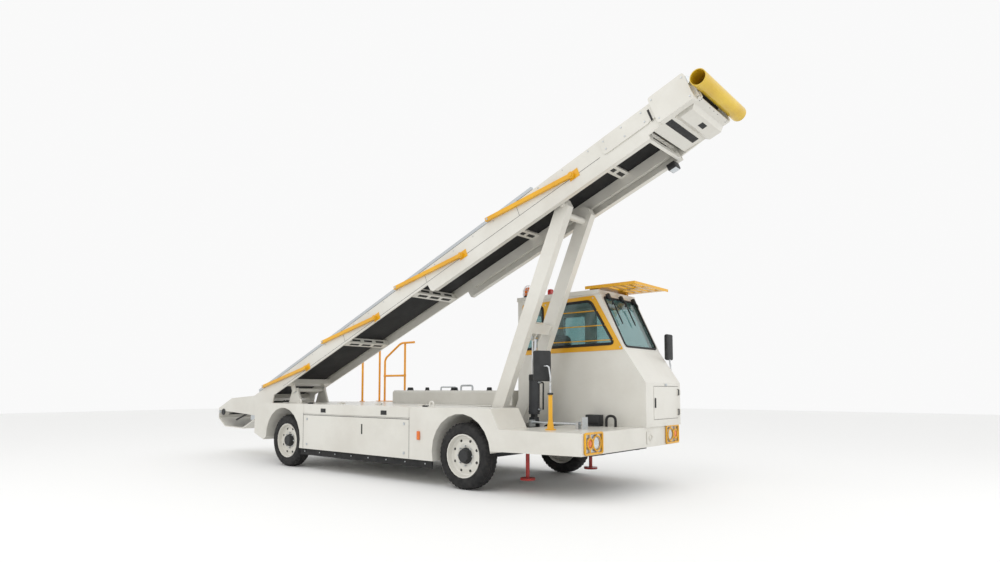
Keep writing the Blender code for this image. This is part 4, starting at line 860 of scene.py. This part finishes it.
def makeRail():
    face = -0.4005
    joints = [onBoom(roundBox((-0.60 + 1.745 * i, face + 0.02, 0.315), (0.13, 0.047, 0.047), 0.004)) for i in range(4)]
    joints += [onBoom(roundBox((s, face + 0.0203, 0.315), (0.03, 0.043, 0.043), 0.006)) for s in (-0.78, 5.30)]
    addPiece("rail_joint_sleeves", together(*joints), zinc, "guard_rail")
    for i in range(4):
        s = 0.60 + 1.745 * i
        block = onBoom(together(roundBox((s + 0.02, face - 0.0015, 0.13), (0.13, 0.003, 0.095), 0.001),
                                disc((s, face - 0.046, 0.13), 0.022, 0.006, (0, -1, 0), 20)))
        addPiece(f"rail_pivot_{i + 1}", block, yellow, "boom")
        x = -0.60 + 1.745 * i
        pin = onBoom(disc((x, face - 0.040, 0.315), 0.016, 0.007, (0, -1, 0), 16))
        addPiece(f"rail_arm_pin_{i + 1}", pin, zinc, f"rail_arm_{i + 1}")


def makeLift():
    pins, plates = [], []
    for side in (-1, 1):
        pins.append(onArm(disc((0.0, side * 0.287, 0.0), 0.045, 0.010, (0, side, 0), 28)))
        pins.append(onArm(disc((2.70, side * 0.325, 0.0), 0.018, 0.008, (0, side, 0), 20)))
        pins.append(onArm(disc((1.137, side * 0.054, 0.0), 0.022, 0.008, (0, side, 0), 20)))
        for z in (-0.0828, 0.0828):
            plates.append(onArm(roundBox((1.26, side * 0.237, z), (0.24, 0.096, 0.004), 0.0015)))
    addPiece("lift_arm_pins", together(*pins), zinc, "lift_arms")
    addPiece("lift_arm_plates", together(*plates), white, "lift_arms")
    gusset = []
    for side in (-1, 1):
        gusset.append(onArm(slab([(1.05, -0.03), (1.20, -0.048), (1.20, 0.048), (1.05, 0.03)], side * 0.19 - 0.004,
                                 side * 0.19 + 0.004, "side", 0.002)))
    addPiece("lift_crossbar_gussets", together(*gusset), white, "lift_arms")
    a = math.radians(liftFrame["angle"])
    eyeX = liftFrame["footX"] + 1.137 * math.cos(a)
    eyeZ = liftFrame["footZ"] + 1.137 * math.sin(a)
    foot = np.array((3.985, boomFrame["centreY"], 0.77))
    along = np.array((eyeX, boomFrame["centreY"], eyeZ)) - foot
    along = along / np.linalg.norm(along)
    gland = turned([(0.0352, 0.024), (0.062, 0.022), (0.068, 0.015), (0.068, -0.045), (0.0655, -0.05)],
                   foot + along * 0.52, along, 36)
    addPiece("cylinder_gland", gland, abs_, "lift_cylinder")
    weld = turned([(0.0655, 0.02), (0.069, 0.012), (0.0655, 0.0)], foot + along * 0.095, along, 36)
    addPiece("cylinder_weld", weld, charcoal, "lift_cylinder")
    side = np.array((0.0, 1.0, 0.0))
    front = np.cross(along, side)
    ports = []
    for reach in (0.13, 0.45):
        start = foot + along * reach - front * 0.060
        ports.append(tube([start, start - front * 0.035], 0.016, 10))
    addPiece("cylinder_ports", together(*ports), zinc, "lift_cylinder")
    hosePath = softPath([foot + along * 0.45 - front * 0.095, foot + along * 0.45 - front * 0.115 + side * 0.02,
                         foot + along * 0.13 - front * 0.115 + side * 0.02], 0.02, 4)
    addPiece("cylinder_hose", tube(hosePath, 0.010, 10), gasket, "lift_cylinder")
    footHose = []
    for y in (-0.08, 0.02):
        footHose.append(tube(softPath([(3.78, boomFrame["centreY"] + y, 0.59), (3.78, boomFrame["centreY"] + y, 0.67),
                                       (3.88, boomFrame["centreY"] + y, 0.67), (3.94, boomFrame["centreY"] + y, 0.60)],
                                      0.03, 6), 0.010, 10))
    addPiece("frame_hoses", together(*footHose), gasket, "chassis")


makeBoom()
makeTail()
makeRail()
makeLift()
print("boom and lift done")


# ---- stage, light and camera

stageSize = {"floor": 60.0, "colour": "#F4F4F3", "worldStrength": 0.95}
cameraPlace = {"x": 8.579, "y": -6.601, "z": 1.142, "tilt": 93.777, "turn": 40.183, "lens": 23.496,
               "shiftX": 0.0115, "shiftY": 0.0648}


def makeStage():
    half = stageSize["floor"] / 2
    mesh = bpy.data.meshes.new("floor")
    mesh.from_pydata([(-half, -half, 0), (half, -half, 0), (half, half, 0), (-half, half, 0)], [], [(0, 1, 2, 3)])
    floor = bpy.data.objects.new("floor", mesh)
    bpy.context.scene.collection.objects.link(floor)
    material = bpy.data.materials.new("studioFloor")
    material.use_nodes = True
    shader = material.node_tree.nodes["Principled BSDF"]
    shader.inputs["Base Color"].default_value = linearColour(stageSize["colour"])
    shader.inputs["Roughness"].default_value = 0.9
    mesh.materials.append(material)
    world = bpy.data.worlds.new("studio")
    bpy.context.scene.world = world
    world.use_nodes = True
    background = world.node_tree.nodes["Background"]
    background.inputs["Color"].default_value = linearColour("#FFFFFF")
    background.inputs["Strength"].default_value = stageSize["worldStrength"]
    lights = {"key": ((3.0, -7.0, 9.0), (28, 0, 18), 7.0, 190), "front": ((10.5, 0.5, 6.0), (55, 0, 92), 5.0, 90)}
    for name, (place, turn, size, power) in lights.items():
        data = bpy.data.lights.new(name, "AREA")
        data.size = size
        data.energy = power
        lamp = bpy.data.objects.new(name, data)
        lamp.location = (place[0] + originX, place[1] + originY, place[2])
        lamp.rotation_euler = [math.radians(d) for d in turn]
        bpy.context.scene.collection.objects.link(lamp)


def makeCamera():
    data = bpy.data.cameras.new("camera")
    data.lens = cameraPlace["lens"]
    data.sensor_width = 36.0
    data.shift_x = cameraPlace["shiftX"]
    data.shift_y = cameraPlace["shiftY"]
    camera = bpy.data.objects.new("camera", data)
    camera.location = (cameraPlace["x"] + originX, cameraPlace["y"] + originY, cameraPlace["z"])
    camera.rotation_euler = (math.radians(cameraPlace["tilt"]), 0.0, math.radians(cameraPlace["turn"]))
    bpy.context.scene.collection.objects.link(camera)
    bpy.context.scene.camera = camera


makeStage()
makeCamera()
bpy.context.scene.view_settings.view_transform = "Standard"
print("stage done")
